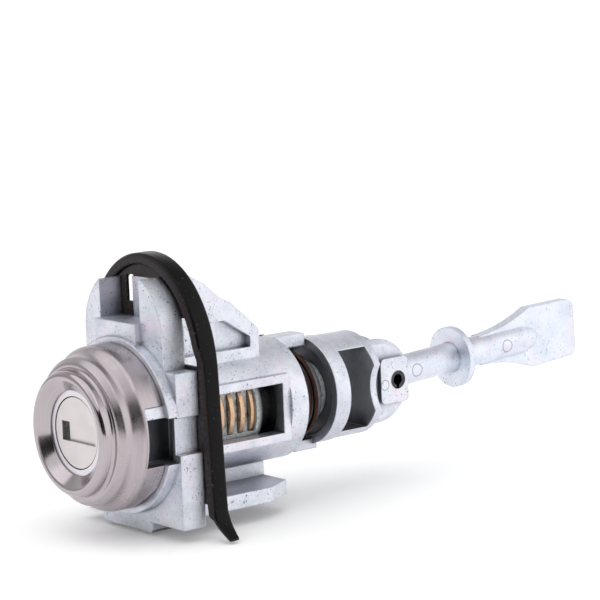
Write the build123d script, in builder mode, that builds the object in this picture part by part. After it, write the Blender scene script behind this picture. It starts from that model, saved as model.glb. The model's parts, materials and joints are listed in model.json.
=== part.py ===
"""Car door lock cylinder with its face cap, gasket, return spring, yoke and connecting rod.

The lock axis runs along Y: the keyway opens to -Y and the connecting rod points to +Y. +Z is up,
on the side of the flange's arch. The origin lies on the lock axis, in the plane of the rear edge
of the face cap's skirt. Every size is in millimetres.
"""

import os
from math import atan2, ceil, cos, pi, radians, sin, sqrt, tan

from build123d import *

# Fits
running_gap = 0.05
seat_gap = 0.05
axial_gap = 0.1
moving_gap = 0.25
rubber_gap = 0.1
disc_gap = 0.2

# Housing: the ring round the face cap and the flange
ring_radius = 15.0
ring_height = 2.0
flange_thickness = 4.5
arch_half_width = 11.0
arch_foot = 10.0
arch_spring = 15.5
arch_top = 26.0
shoulder_half_width = 14.2
waist_half_width = 13.4
waist_top = 2.6
waist_bottom = -3.6
foot_half_width = 14.8
foot_bottom = -16.2
tongue_width = 14.3
tongue_shift = -1.3
tongue_drop = 1.8
top_slot_width = 11.4
top_slot_shift = -0.7
top_slot_floor = 17.5
slot_block_rise = 1.2
corner_break = 0.5

# Housing: the boss under the face cap
boss_reach = 5.6
boss_chamfer = 1.6
counterbore_depth = 3.6
port_height = 7.9
port_shift = -0.95
port_floor = 9.6
port_depth = 1.6
port_cheek = 0.8
cap_lug_height = 1.8

# Housing: the barrel, its windows and its rear wall
barrel_radius = 10.7
barrel_length = 26.2
bore_radius = 8.2
rear_wall = 4.2
window_height = 8.7
window_front_wall = 3.1
window_rear_wall = 5.1
pad_half_width = 10.1
pad_border = 1.5
spring_space = 7.3
lug_end_gap = 0.75
lug_width = 3.8
lug_height = 2.2

# Housing: the bracket above the barrel and the tab below it
bracket_left = -3.0
bracket_right = 6.0
bracket_length = 19.5
bracket_top = 24.3
bracket_crest_length = 5.5
bracket_brow_length = 8.2
bracket_brow_drop = 1.5
bracket_step_length = 11.3
bracket_step_drop = 4.2
bracket_saddle_length = 13.7
bracket_saddle_drop = 5.4
bracket_rear_drop = 10.6
bracket_rib = 1.9
bracket_pocket = 1.6
pocket_drop = 8.4
pocket_slope_length = 5.3
pocket_slope_drop = 3.4
tab_width = 22.4
tab_thickness = 2.5
tab_drop = 2.3
tab_length = 22.5
tab_rib = 4.0
tab_corner_x = 3.0
tab_corner_y = 5.5

# Face cap and the ring in its mouth
cap_radius = 14.0
cap_sheet = 0.8
cap_notch_height = 10.0
cap_notch_depth = 3.9
cap_scallop_radius = 5.0
cap_scallop_depth = 1.2
cap_step = 1.4
cap_band_length = 1.5
cap_saddle = 1.0
bead_width = 3.4
bead_height = 1.9
bead_corner = 0.47
mouth_ring_wall = 1.8
mouth_ring_thickness = 0.45
mouth_overlap = 0.8

# Plug
plug_flange_radius = 9.2
plug_flange_thickness = 2.9
plug_nose_radius = 8.0
plug_nose_length = 2.75
face_disc_radius = 6.0
face_disc_thickness = 0.6
keyway_width = 9.5
keyway_height = 3.3
keyway_shift = 0.55
seal_section = 1.5
neck_radius = 5.2
tail_radius = 4.2
tail_flats = 6.2
tail_end_length = 2.1
shoulder_land = 1.76
web_half_width = 6.6

# Wafers and their springs
wafer_count = 8
first_wafer = 7.4
wafer_pitch = 2.2
wafer_thickness = 0.9
wafer_radius = 7.7
wafer_height = 7.0
wafer_ear_width = 1.0
wafer_ear_height = 1.6
wafer_ear_offset = 1.2
wafer_travel = 0.35
wafer_spring_radius = 0.65
wafer_spring_wire = 0.26
wafer_spring_turns = 3
wafer_spring_length = 4.2
small_coil_sides = 3
small_coil_steps = 6

# Shutter behind the face disc
shutter_thickness = 0.8
shutter_lap = 0.3
shutter_window = 1.2
shutter_pin_radius = 0.5
shutter_hinge_height = 2.6
shutter_knuckle_radius = 0.85
shutter_spring_wire = 0.25
shutter_spring_turns = 3
shutter_pin_left = 1.8
shutter_pin_right = 1.4

# Gasket
gasket_half_width = 16.1
gasket_waist = 9.0
gasket_top = 28.5
gasket_leg_half_width = 17.2
gasket_leg_bottom = -15.2
gasket_band = 2.0
gasket_depth = 3.2
gasket_web = 1.2
gasket_slit_width = 1.2
gasket_slit_shift = -3.8
gasket_slit_bottom = 19.9
gasket_slit_top = 24.5
gasket_window_top = 17.8
gasket_window_width = 4.4
gasket_window_shift = 1.1
gasket_window_sill = 0.6
gasket_lip_reach = 4.0
gasket_lip_drop = 3.0
gasket_lip = 0.9
gasket_lip_bend = 3.0

# Return spring and its sleeve
spring_wire = 1.1
spring_mean_radius = 7.6
spring_pitch = 1.5
spring_full_turns = 2
spring_sides = 5
spring_steps = 16
sleeve_radius = 6.8
sleeve_length = 5.9

# Yoke
yoke_disc_radius = 9.5
yoke_disc_thickness = 3.2
yoke_dish_radius = 8.0
yoke_dish_depth = 1.0
cage_radius = 9.3
cage_length = 6.4
cage_bar = 2.1
yoke_plate = 1.4
waist_scoop = 2.2
waist_scoop_radius = 7.0
fork_radius = 7.6
fork_reach = 3.2
fork_rim = 0.9
fork_half_width = 4.3
fork_slot_floor = 1.4
pad_length = 6.4
pad_height = 8.2
ear_pad = 1.0
ear_pad_corner = 1.0
ear_pad_shift = -0.8
peg_width = 4.0
peg_length = 4.0
peg_height = 1.8
clip_radius = 6.4
clip_thickness = 0.8
clip_groove_radius = 3.0
clip_mouth = 5.1

# Roll pin and connecting rod
pin_radius = 1.6
pin_bore = 1.0
pin_slit = 0.6
pin_offset = 6.7
rod_tilt = 3.4
rod_radius = 2.75
rod_eye_radius = 3.4
rod_eye_width = 5.4
collar_radius = 5.6
collar_thickness = 1.3
collar_distance = 18.0
flare_start = 24.0
shoulder_distance = 37.0
rod_length = 48.4
paddle_width = 11.4
paddle_thickness = 2.2
paddle_corner = 1.6
paddle_taper = 0.3
flare_rise = 0.8
ridge_start = 34.5
ridge_brow = 37.4
ridge_brow_radius = 2.1
ridge_end = 38.6

# Places along the lock axis that follow from the sizes
flange_front = ring_height
flange_back = flange_front + flange_thickness
barrel_rear = flange_back + barrel_length
bore_end = barrel_rear - rear_wall
boss_front = -boss_reach
counterbore_floor = boss_front + counterbore_depth
plug_flange_rear = counterbore_floor - axial_gap
plug_flange_front = plug_flange_rear - plug_flange_thickness
nose_front = plug_flange_front - plug_nose_length
mouth_ring_rear = nose_front - moving_gap
mouth_ring_front = mouth_ring_rear - mouth_ring_thickness
last_wafer = first_wafer + (wafer_count - 1) * wafer_pitch
plug_shoulder = last_wafer + shoulder_land
window_front = flange_back + window_front_wall
window_rear = barrel_rear - window_rear_wall
yoke_front = barrel_rear + spring_space
cage_front = yoke_front + yoke_disc_thickness
plate_front = cage_front + cage_length
plate_rear = plate_front + yoke_plate
fork_centre = plate_rear + fork_reach
pin_place = plate_rear + pin_offset
dish_floor = yoke_front + yoke_dish_depth
neck_end = dish_floor - axial_gap
clip_front = cage_front + axial_gap
tail_end = clip_front + clip_thickness + tail_end_length

# Radii and places across the axis that follow from the sizes
boss_radius = cap_radius - cap_sheet - seat_gap
counterbore_radius = plug_flange_radius + 2 * running_gap
plug_radius = bore_radius - running_gap
neck_bore = neck_radius + running_gap
ring_inner = face_disc_radius + disc_gap
ring_outer = ring_inner + mouth_ring_wall
mouth_edge = ring_outer - mouth_overlap
keyway_left = keyway_shift - keyway_width / 2
keyway_right = keyway_shift + keyway_width / 2
wafer_slot = wafer_thickness + 2 * running_gap
wafer_slot_height = wafer_height + 2 * axial_gap
wafer_pocket_depth = wafer_ear_height + 2 * axial_gap
wafer_pocket_width = 2 * wafer_spring_radius + axial_gap
fork_gap = rod_eye_width / 2 + moving_gap
ear_face = fork_half_width + ear_pad
lug_inner = spring_mean_radius + spring_wire / 2 + moving_gap
leg_offset = spring_wire / 2 + seat_gap


def across(y):
    """Plane square to the lock axis; its sketches use X and Z, and extrude towards the face cap."""
    return Plane.XZ.offset(-y)


def along(x):
    """Plane that holds the lock axis direction; its sketches use Y and Z, and extrude to +X."""
    return Plane.YZ.offset(x)


def finish(piece, name):
    """Name a finished piece and write it to its own file."""
    piece.part.label = name
    export_step(piece.part, f"parts/{name}.step")


os.makedirs("parts", exist_ok=True)

# Housing: one zinc die casting
with BuildPart() as housing:
    with BuildSketch(across(flange_back)):
        with BuildLine():
            Polyline(
                (0, foot_bottom),
                (foot_half_width, foot_bottom),
                (foot_half_width, waist_bottom),
                (waist_half_width, waist_bottom),
                (waist_half_width, waist_top),
                (shoulder_half_width, waist_top),
                (shoulder_half_width, arch_foot),
                (arch_half_width, arch_foot),
                (arch_half_width, arch_spring),
            )
            EllipticalCenterArc(
                (0, arch_spring),
                arch_half_width,
                arch_top - arch_spring,
                start_angle=0,
                arc_size=90,
            )
            mirror(about=Plane.YZ)
        make_face()
        with Locations((tongue_shift, foot_bottom - tongue_drop)):
            Rectangle(tongue_width, tongue_drop, align=(Align.CENTER, Align.MIN))
        with Locations((top_slot_shift, top_slot_floor)):
            Rectangle(
                top_slot_width,
                arch_top,
                align=(Align.CENTER, Align.MIN),
                mode=Mode.SUBTRACT,
            )
    extrude(amount=flange_thickness)
    chamfer(housing.edges().filter_by(Axis.Y).group_by(Axis.Z)[0], corner_break)
    with BuildSketch(across(flange_front)):
        Circle(ring_radius)
    extrude(amount=ring_height)
    with BuildSketch(across(flange_front)):
        with Locations((top_slot_shift, top_slot_floor)):
            Rectangle(
                top_slot_width,
                top_slot_floor - boss_radius,
                align=(Align.CENTER, Align.MAX),
            )
    extrude(amount=slot_block_rise)
    with BuildSketch(across(0)):
        Circle(boss_radius)
    extrude(amount=boss_reach)
    chamfer(housing.edges().group_by(Axis.Y)[0], boss_chamfer)
    with BuildSketch(across(barrel_rear)):
        Circle(barrel_radius)
    extrude(amount=barrel_length)

    # Bracket: a sloping wall on the barrel, with a pocket in its side behind a rib
    with BuildSketch(along(bracket_left)):
        with BuildLine():
            bracket_rear = flange_back + bracket_length
            Polyline(
                (flange_back, bore_radius),
                (flange_back, bracket_top),
                (flange_back + bracket_crest_length, bracket_top),
                (flange_back + bracket_brow_length, bracket_top - bracket_brow_drop),
                (flange_back + bracket_step_length, bracket_top - bracket_step_drop),
                (flange_back + bracket_saddle_length, bracket_top - bracket_saddle_drop),
                (bracket_rear, bracket_top - bracket_rear_drop),
                (bracket_rear, bore_radius),
                close=True,
            )
        make_face()
    extrude(amount=bracket_right - bracket_left)
    with BuildSketch(along(bracket_right)):
        with BuildLine():
            pocket_rear = bracket_rear - bracket_rib
            pocket_top = bracket_top - pocket_drop
            Polyline(
                (flange_back + bracket_rib, barrel_radius),
                (flange_back + bracket_rib, pocket_top),
                (pocket_rear - pocket_slope_length, pocket_top),
                (pocket_rear, pocket_top - pocket_slope_drop),
                (pocket_rear, barrel_radius),
                close=True,
            )
        make_face()
    extrude(amount=-bracket_pocket, mode=Mode.SUBTRACT)
    with BuildSketch(across(window_rear)):
        Circle(barrel_radius)
    extrude(amount=window_rear - flange_back)

    # Tab: a flat rail on a rib under the barrel
    tab_top = -barrel_radius - tab_drop
    tab_rear = flange_back + tab_length
    with BuildSketch(Plane.XY.offset(tab_top)):
        with BuildLine():
            Polyline(
                (0, flange_back),
                (tab_width / 2, flange_back),
                (tab_width / 2, tab_rear - tab_corner_y),
                (tab_width / 2 - tab_corner_x, tab_rear),
                (0, tab_rear),
            )
            mirror(about=Plane.YZ)
        make_face()
    extrude(amount=-tab_thickness)
    with BuildSketch(Plane.XY.offset(tab_top)):
        with Locations((0, flange_back)):
            Rectangle(tab_rib, tab_length, align=(Align.CENTER, Align.MIN))
    extrude(amount=barrel_radius + tab_drop - bore_radius)

    # Window pads: flat faces on both sides of the barrel
    pad_height_z = window_height + 2 * pad_border
    pad_front = flange_back + gasket_depth + moving_gap
    pad_rear = window_rear + pad_border
    with BuildSketch(across(pad_rear)):
        Rectangle(2 * pad_half_width, pad_height_z)
    extrude(amount=pad_rear - pad_front)
    with BuildSketch(across(pad_rear)):
        with Locations((pad_half_width, 0), (-pad_half_width, 0)):
            Rectangle(2 * (barrel_radius - pad_half_width), pad_height_z)
        Rectangle(2 * pad_half_width, pad_height_z, mode=Mode.SUBTRACT)
    extrude(amount=pad_rear - pad_front, mode=Mode.SUBTRACT)
    with BuildSketch(across(window_rear)):
        Rectangle(2 * barrel_radius, window_height)
    extrude(amount=window_rear - window_front, mode=Mode.SUBTRACT)

    # Lug: the fixed stop for the return spring
    with BuildSketch(across(yoke_front - lug_end_gap)):
        with Locations((0, lug_inner)):
            Rectangle(lug_width, lug_height, align=(Align.CENTER, Align.MIN))
    extrude(amount=spring_space - lug_end_gap)

    # Bores for the plug and its neck
    with BuildSketch(across(bore_end)):
        Circle(bore_radius)
    extrude(amount=bore_end - boss_front, mode=Mode.SUBTRACT)
    with BuildSketch(across(counterbore_floor)):
        Circle(counterbore_radius)
    extrude(amount=counterbore_depth, mode=Mode.SUBTRACT)
    with BuildSketch(across(barrel_rear)):
        Circle(neck_bore)
    extrude(amount=rear_wall, mode=Mode.SUBTRACT)

    # Side port behind the notch of the face cap, with the lug that stops the cap from turning
    with BuildSketch(across(flange_front)):
        with Locations((port_floor, port_shift)):
            Rectangle(ring_radius, port_height, align=(Align.MIN, Align.CENTER))
    extrude(amount=flange_front + cap_notch_depth, mode=Mode.SUBTRACT)
    with BuildSketch(across(flange_front + port_depth)):
        with Locations((port_floor, port_shift)):
            Rectangle(
                waist_half_width - port_cheek - port_floor,
                port_height,
                align=(Align.MIN, Align.CENTER),
            )
    extrude(amount=port_depth, mode=Mode.SUBTRACT)
    lug_top = cap_notch_height / 2 - axial_gap
    with BuildSketch(across(0)):
        Circle(cap_radius)
        with Locations((boss_radius - 2 * cap_sheet, lug_top)):
            Rectangle(
                cap_radius,
                cap_lug_height,
                align=(Align.MIN, Align.MAX),
                mode=Mode.INTERSECT,
            )
    extrude(amount=cap_notch_depth - axial_gap)
finish(housing, "housing")

# Face cap: a stamped steel shell, stepped round the boss, with a bead round its mouth
bend = cap_sheet * tan(radians(45) / 2)
step_rear = boss_front + boss_chamfer - (cap_sheet + seat_gap) * tan(radians(45) / 2)
band_radius = cap_radius - cap_step
band_rear = step_rear - cap_step
band_front = band_rear - cap_band_length
bead_radius = mouth_edge + bead_width
mouth_rear = mouth_ring_front - seat_gap
bead_front = mouth_rear - bead_height
with BuildPart() as face_cap:
    with BuildSketch(Plane.XY):
        with BuildLine():
            Polyline(
                (cap_radius, 0),
                (cap_radius, step_rear),
                (band_radius, band_rear),
                (band_radius, band_front),
                (band_radius - cap_saddle, band_front - cap_saddle),
                (bead_radius, band_front - cap_saddle),
                (bead_radius, bead_front + bead_corner),
                (bead_radius - bead_corner, bead_front),
                (mouth_edge, bead_front),
                (mouth_edge, mouth_rear),
                (mouth_edge + cap_sheet, mouth_rear),
                (mouth_edge + cap_sheet, bead_front + cap_sheet),
                (bead_radius - cap_sheet, bead_front + cap_sheet),
                (bead_radius - cap_sheet, band_front - cap_saddle + cap_sheet),
                (band_radius - cap_sheet, band_front - cap_saddle + cap_sheet),
                (band_radius - cap_sheet, band_rear + bend),
                (cap_radius - cap_sheet, step_rear + bend),
                (cap_radius - cap_sheet, 0),
                close=True,
            )
        make_face()
    revolve(axis=Axis.Y)
    with BuildSketch(across(0)):
        with Locations((port_floor, 0)):
            Rectangle(cap_radius, cap_notch_height, align=(Align.MIN, Align.CENTER))
    extrude(amount=cap_notch_depth, mode=Mode.SUBTRACT)
    with BuildSketch(Plane.XY.offset(-cap_radius)):
        with Locations((cap_radius / 2, cap_scallop_radius - cap_scallop_depth)):
            Circle(cap_scallop_radius)
    extrude(amount=cap_radius, mode=Mode.SUBTRACT)
finish(face_cap, "face_cap")

# Mouth ring: held between the cap's inner edge and the housing
with BuildPart() as mouth_ring:
    with BuildSketch(across(mouth_ring_rear)):
        Circle(ring_outer)
        Circle(ring_inner, mode=Mode.SUBTRACT)
    extrude(amount=mouth_ring_thickness)
finish(mouth_ring, "mouth_ring")


def arch(inset, foot):
    """Face of the gasket's arch set in from its outer edge: sloping legs under half an ellipse."""
    with BuildSketch() as outline:
        with BuildLine():
            Polyline(
                (0, foot),
                (gasket_leg_half_width - inset, foot),
                (gasket_half_width - inset, gasket_waist),
            )
            EllipticalCenterArc(
                (0, gasket_waist),
                gasket_half_width - inset,
                gasket_top - inset - gasket_waist,
                start_angle=0,
                arc_size=90,
            )
            mirror(about=Plane.YZ)
        make_face()
    return outline.sketch


# Gasket: one rubber moulding, an arched band with a thin web that lies on the flange
with BuildPart() as gasket:
    with BuildSketch(across(flange_back + gasket_depth)):
        add(arch(0, gasket_leg_bottom))
        add(arch(gasket_band, gasket_leg_bottom), mode=Mode.SUBTRACT)
        with BuildLine():
            lip_root = gasket_leg_half_width - gasket_band / 2
            FilletPolyline(
                (lip_root - gasket_lip / 2, gasket_leg_bottom + 2 * gasket_band),
                (lip_root + gasket_lip, gasket_leg_bottom + gasket_lip / 2),
                (lip_root + gasket_lip_reach, gasket_leg_bottom - gasket_lip_drop),
                radius=gasket_lip_bend,
            )
            mirror(about=Plane.YZ)
        trace(line_width=gasket_lip)
    extrude(amount=gasket_depth)
    with BuildSketch(across(flange_back + gasket_web)):
        add(arch(gasket_band / 2, tab_top + moving_gap))
        Circle(barrel_radius + rubber_gap, mode=Mode.SUBTRACT)
        with Locations((bracket_left - rubber_gap, 0)):
            Rectangle(
                bracket_right - bracket_left + 2 * rubber_gap,
                bracket_top + rubber_gap,
                align=(Align.MIN, Align.MIN),
                mode=Mode.SUBTRACT,
            )
        Rectangle(
            tab_rib + 2 * rubber_gap,
            barrel_radius + tab_drop,
            align=(Align.CENTER, Align.MAX),
            mode=Mode.SUBTRACT,
        )
        with Locations((gasket_slit_shift, gasket_slit_bottom)):
            Rectangle(
                gasket_slit_width,
                gasket_slit_top - gasket_slit_bottom,
                align=(Align.CENTER, Align.MIN),
                mode=Mode.SUBTRACT,
            )
        for side in (1, -1):
            window_middle = arch_half_width + gasket_window_shift
            with Locations((side * window_middle, arch_foot + gasket_window_sill)):
                Rectangle(
                    gasket_window_width,
                    gasket_window_top - arch_foot,
                    align=(Align.CENTER, Align.MIN),
                    mode=Mode.SUBTRACT,
                )
    extrude(amount=gasket_web)
finish(gasket, "gasket")

# Plug: turned outside, cast slots inside
seal_floor = plug_radius - seal_section - seat_gap
seal_rear = plug_flange_rear + seal_section + 2 * axial_gap
hinge_place = nose_front + axial_gap + shutter_knuckle_radius
shutter_bottom = -keyway_height / 2 - shutter_lap
shutter_reach = sqrt((shutter_hinge_height - shutter_bottom) ** 2 + shutter_knuckle_radius**2)
shutter_left = keyway_left + shutter_window
shutter_right = keyway_right + shutter_lap
chamber_left = keyway_left - shutter_lap
chamber_right = shutter_right + 2 * axial_gap
chamber_bottom = shutter_hinge_height - shutter_reach - axial_gap
chamber_top = shutter_hinge_height + shutter_knuckle_radius + axial_gap
chamber_depth = hinge_place + shutter_reach + moving_gap - nose_front
with BuildPart() as plug:
    with BuildSketch(Plane.XY):
        with BuildLine():
            Polyline(
                (0, nose_front),
                (plug_nose_radius, nose_front),
                (plug_nose_radius, plug_flange_front),
                (plug_flange_radius, plug_flange_front),
                (plug_flange_radius, plug_flange_rear),
                (seal_floor, plug_flange_rear),
                (seal_floor, seal_rear),
                (plug_radius, seal_rear),
                (plug_radius, plug_shoulder),
                (neck_radius, plug_shoulder),
                (neck_radius, neck_end),
                (tail_radius, neck_end),
                (tail_radius, clip_front - seat_gap),
                (clip_groove_radius, clip_front - seat_gap),
                (clip_groove_radius, clip_front + clip_thickness + seat_gap),
                (tail_radius, clip_front + clip_thickness + seat_gap),
                (tail_radius, tail_end),
                (0, tail_end),
                close=True,
            )
        make_face()
    revolve(axis=Axis.Y)
    with BuildSketch(across(tail_end)):
        Rectangle(2 * tail_radius, 2 * tail_radius)
        Rectangle(2 * tail_radius, tail_flats, mode=Mode.SUBTRACT)
    extrude(amount=tail_end - neck_end, mode=Mode.SUBTRACT)
    with BuildSketch(across(last_wafer + wafer_slot / 2)):
        with Locations((keyway_shift, 0)):
            Rectangle(keyway_width, keyway_height)
    extrude(amount=last_wafer + wafer_slot / 2 - nose_front, mode=Mode.SUBTRACT)
    with BuildSketch(across(nose_front + chamber_depth)):
        with Locations((chamber_left, chamber_bottom)):
            Rectangle(
                chamber_right - chamber_left,
                chamber_top - chamber_bottom,
                align=(Align.MIN, Align.MIN),
            )
    extrude(amount=chamber_depth, mode=Mode.SUBTRACT)
    with BuildSketch(across(last_wafer + wafer_slot / 2)):
        Rectangle(2 * plug_flange_radius, wafer_slot_height)
        Rectangle(2 * web_half_width, wafer_slot_height, mode=Mode.SUBTRACT)
    extrude(amount=last_wafer - first_wafer + wafer_slot, mode=Mode.SUBTRACT)
    for number in range(wafer_count):
        flip = 1 if number % 2 == 0 else -1
        place = first_wafer + number * wafer_pitch
        with BuildSketch(across(place + wafer_slot / 2)):
            Rectangle(2 * plug_flange_radius, wafer_slot_height)
        extrude(amount=wafer_slot, mode=Mode.SUBTRACT)
        with BuildSketch(across(place + wafer_pocket_width / 2)):
            pocket_start = wafer_ear_offset - wafer_spring_length - 2 * seat_gap
            pocket_end = wafer_ear_offset + wafer_ear_width + wafer_travel + moving_gap
            with Locations((flip * (pocket_start + pocket_end) / 2, wafer_slot_height / 2)):
                Rectangle(
                    pocket_end - pocket_start,
                    wafer_pocket_depth,
                    align=(Align.CENTER, Align.MIN),
                )
        extrude(amount=wafer_pocket_width, mode=Mode.SUBTRACT)
    pin_left = chamber_left - shutter_pin_left
    pin_right = chamber_right + shutter_pin_right
    with BuildSketch(along(pin_left - seat_gap)):
        with Locations((hinge_place, shutter_hinge_height)):
            Circle(shutter_pin_radius + seat_gap)
    extrude(amount=pin_right - pin_left + 2 * seat_gap, mode=Mode.SUBTRACT)
finish(plug, "plug")

# Seal: a square-cut rubber ring in the groove behind the flange of the plug
with BuildPart() as plug_seal:
    with BuildSketch(across(seal_rear - axial_gap)):
        Circle(plug_radius)
        Circle(plug_radius - seal_section, mode=Mode.SUBTRACT)
    extrude(amount=seal_section)
finish(plug_seal, "plug_seal")

# Face disc: a steel stamping on the nose of the plug
with BuildPart() as face_disc:
    with BuildSketch(across(nose_front)):
        Circle(face_disc_radius)
        with Locations((keyway_shift, 0)):
            Rectangle(keyway_width, keyway_height, mode=Mode.SUBTRACT)
    extrude(amount=face_disc_thickness)
finish(face_disc, "face_disc")

# Shutter: a hinged steel flap that closes the keyway
with BuildPart() as shutter:
    with BuildSketch(along(shutter_left)):
        with Locations((hinge_place - shutter_knuckle_radius, shutter_bottom)):
            Rectangle(
                shutter_thickness,
                shutter_hinge_height - shutter_bottom,
                align=(Align.MIN, Align.MIN),
            )
        with Locations((hinge_place, shutter_hinge_height)):
            Circle(shutter_knuckle_radius)
            Circle(shutter_pin_radius + running_gap, mode=Mode.SUBTRACT)
    extrude(amount=shutter_right - shutter_left)
finish(shutter, "shutter")

# Shutter pin: pressed across the nose of the plug
with BuildPart() as shutter_pin:
    with BuildSketch(along(pin_left)):
        with Locations((hinge_place, shutter_hinge_height)):
            Circle(shutter_pin_radius)
    extrude(amount=pin_right - pin_left)
finish(shutter_pin, "shutter_pin")


def winding(plane, radius, steps, turns, length):
    """Points along a coil about the normal of a plane, from its x direction."""
    count = ceil(turns * steps)
    sweep_angle = 2 * pi * turns / count
    return [
        plane.from_local_coords(
            (radius * cos(i * sweep_angle), radius * sin(i * sweep_angle), length * i / count)
        )
        for i in range(count + 1)
    ]


def bend_wire(points, wire, sides):
    """Wire with flat sides, bent along straight runs between points."""
    with BuildPart() as bent:
        with BuildLine():
            path = Polyline(*points)
        with BuildSketch(Plane(origin=path @ 0, z_dir=path % 0)):
            RegularPolygon(wire / 2, sides)
        sweep(path=path, transition=Transition.RIGHT)
    return bent


# Shutter spring: a torsion spring on the pin beside the shutter
shutter_spring_radius = shutter_pin_radius + seat_gap + shutter_spring_wire / 2
shutter_spring_length = shutter_left - chamber_left - shutter_spring_wire - 2 * axial_gap
shutter_spring_plane = Plane(
    origin=(chamber_left + axial_gap + shutter_spring_wire / 2, hinge_place, shutter_hinge_height),
    x_dir=(0, 0, 1),
    z_dir=(1, 0, 0),
)
shutter_spring = bend_wire(
    winding(
        shutter_spring_plane,
        shutter_spring_radius,
        small_coil_steps,
        shutter_spring_turns,
        shutter_spring_length,
    ),
    shutter_spring_wire,
    small_coil_sides,
)
finish(shutter_spring, "shutter_spring")

# Wafers: brass plates across the keyway, each with its own small spring beside its ear
for number in range(wafer_count):
    flip = 1 if number % 2 == 0 else -1
    place = first_wafer + number * wafer_pitch
    with BuildPart() as wafer:
        with BuildSketch(across(place + wafer_thickness / 2)):
            Circle(wafer_radius)
            Rectangle(2 * wafer_radius, wafer_height, mode=Mode.INTERSECT)
            with Locations((flip * (wafer_ear_offset + wafer_ear_width / 2), 0)):
                Rectangle(
                    wafer_ear_width,
                    wafer_height / 2 + wafer_ear_height,
                    align=(Align.CENTER, Align.MIN),
                )
            with Locations((keyway_shift, 0)):
                Rectangle(
                    keyway_width - 2 * moving_gap,
                    keyway_height + 2 * axial_gap,
                    mode=Mode.SUBTRACT,
                )
        extrude(amount=wafer_thickness)
    finish(wafer, f"wafer_{number + 1}")
    spring_start = wafer_ear_offset - wafer_spring_length - seat_gap + wafer_spring_wire / 2
    spring_plane = Plane(
        origin=(
            flip * spring_start,
            place,
            wafer_slot_height / 2 + wafer_spring_radius + axial_gap,
        ),
        x_dir=(0, 0, 1),
        z_dir=(flip, 0, 0),
    )
    wafer_spring = bend_wire(
        winding(
            spring_plane,
            wafer_spring_radius - wafer_spring_wire / 2,
            small_coil_steps,
            wafer_spring_turns,
            wafer_spring_length - wafer_spring_wire,
        ),
        wafer_spring_wire,
        small_coil_sides,
    )
    finish(wafer_spring, f"wafer_spring_{number + 1}")

# Spring sleeve: a steel spacer on the neck of the plug
with BuildPart() as spring_sleeve:
    with BuildSketch(across(barrel_rear + axial_gap + sleeve_length)):
        Circle(sleeve_radius)
        Circle(neck_bore, mode=Mode.SUBTRACT)
    extrude(amount=sleeve_length)
finish(spring_sleeve, "spring_sleeve")

# Return spring: one leg lies on the lug of the housing, the other on the peg of the yoke
leg_top = lug_width / 2 + leg_offset
leg_bottom = peg_width / 2 + leg_offset
start_angle = atan2(sqrt(spring_mean_radius**2 - leg_top**2), -leg_top)
end_angle = atan2(-sqrt(spring_mean_radius**2 - leg_bottom**2), -leg_bottom)
spring_turns = spring_full_turns + (start_angle - end_angle) / (2 * pi)
spring_start_place = barrel_rear + axial_gap + spring_wire / 2
spring_end_place = spring_start_place + spring_turns * spring_pitch
leg_end = lug_inner + lug_height
spring_plane = Plane(
    origin=(0, spring_start_place, 0),
    x_dir=(cos(start_angle), 0, sin(start_angle)),
    z_dir=(0, 1, 0),
)
coil_points = winding(
    spring_plane,
    spring_mean_radius,
    spring_steps,
    spring_turns,
    spring_turns * spring_pitch,
)
top_leg = (-leg_top, spring_start_place, leg_end)
bottom_leg = (-leg_bottom, spring_end_place, -leg_end)
return_spring = bend_wire([top_leg, *coil_points, bottom_leg], spring_wire, spring_sides)
finish(return_spring, "return_spring")

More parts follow.
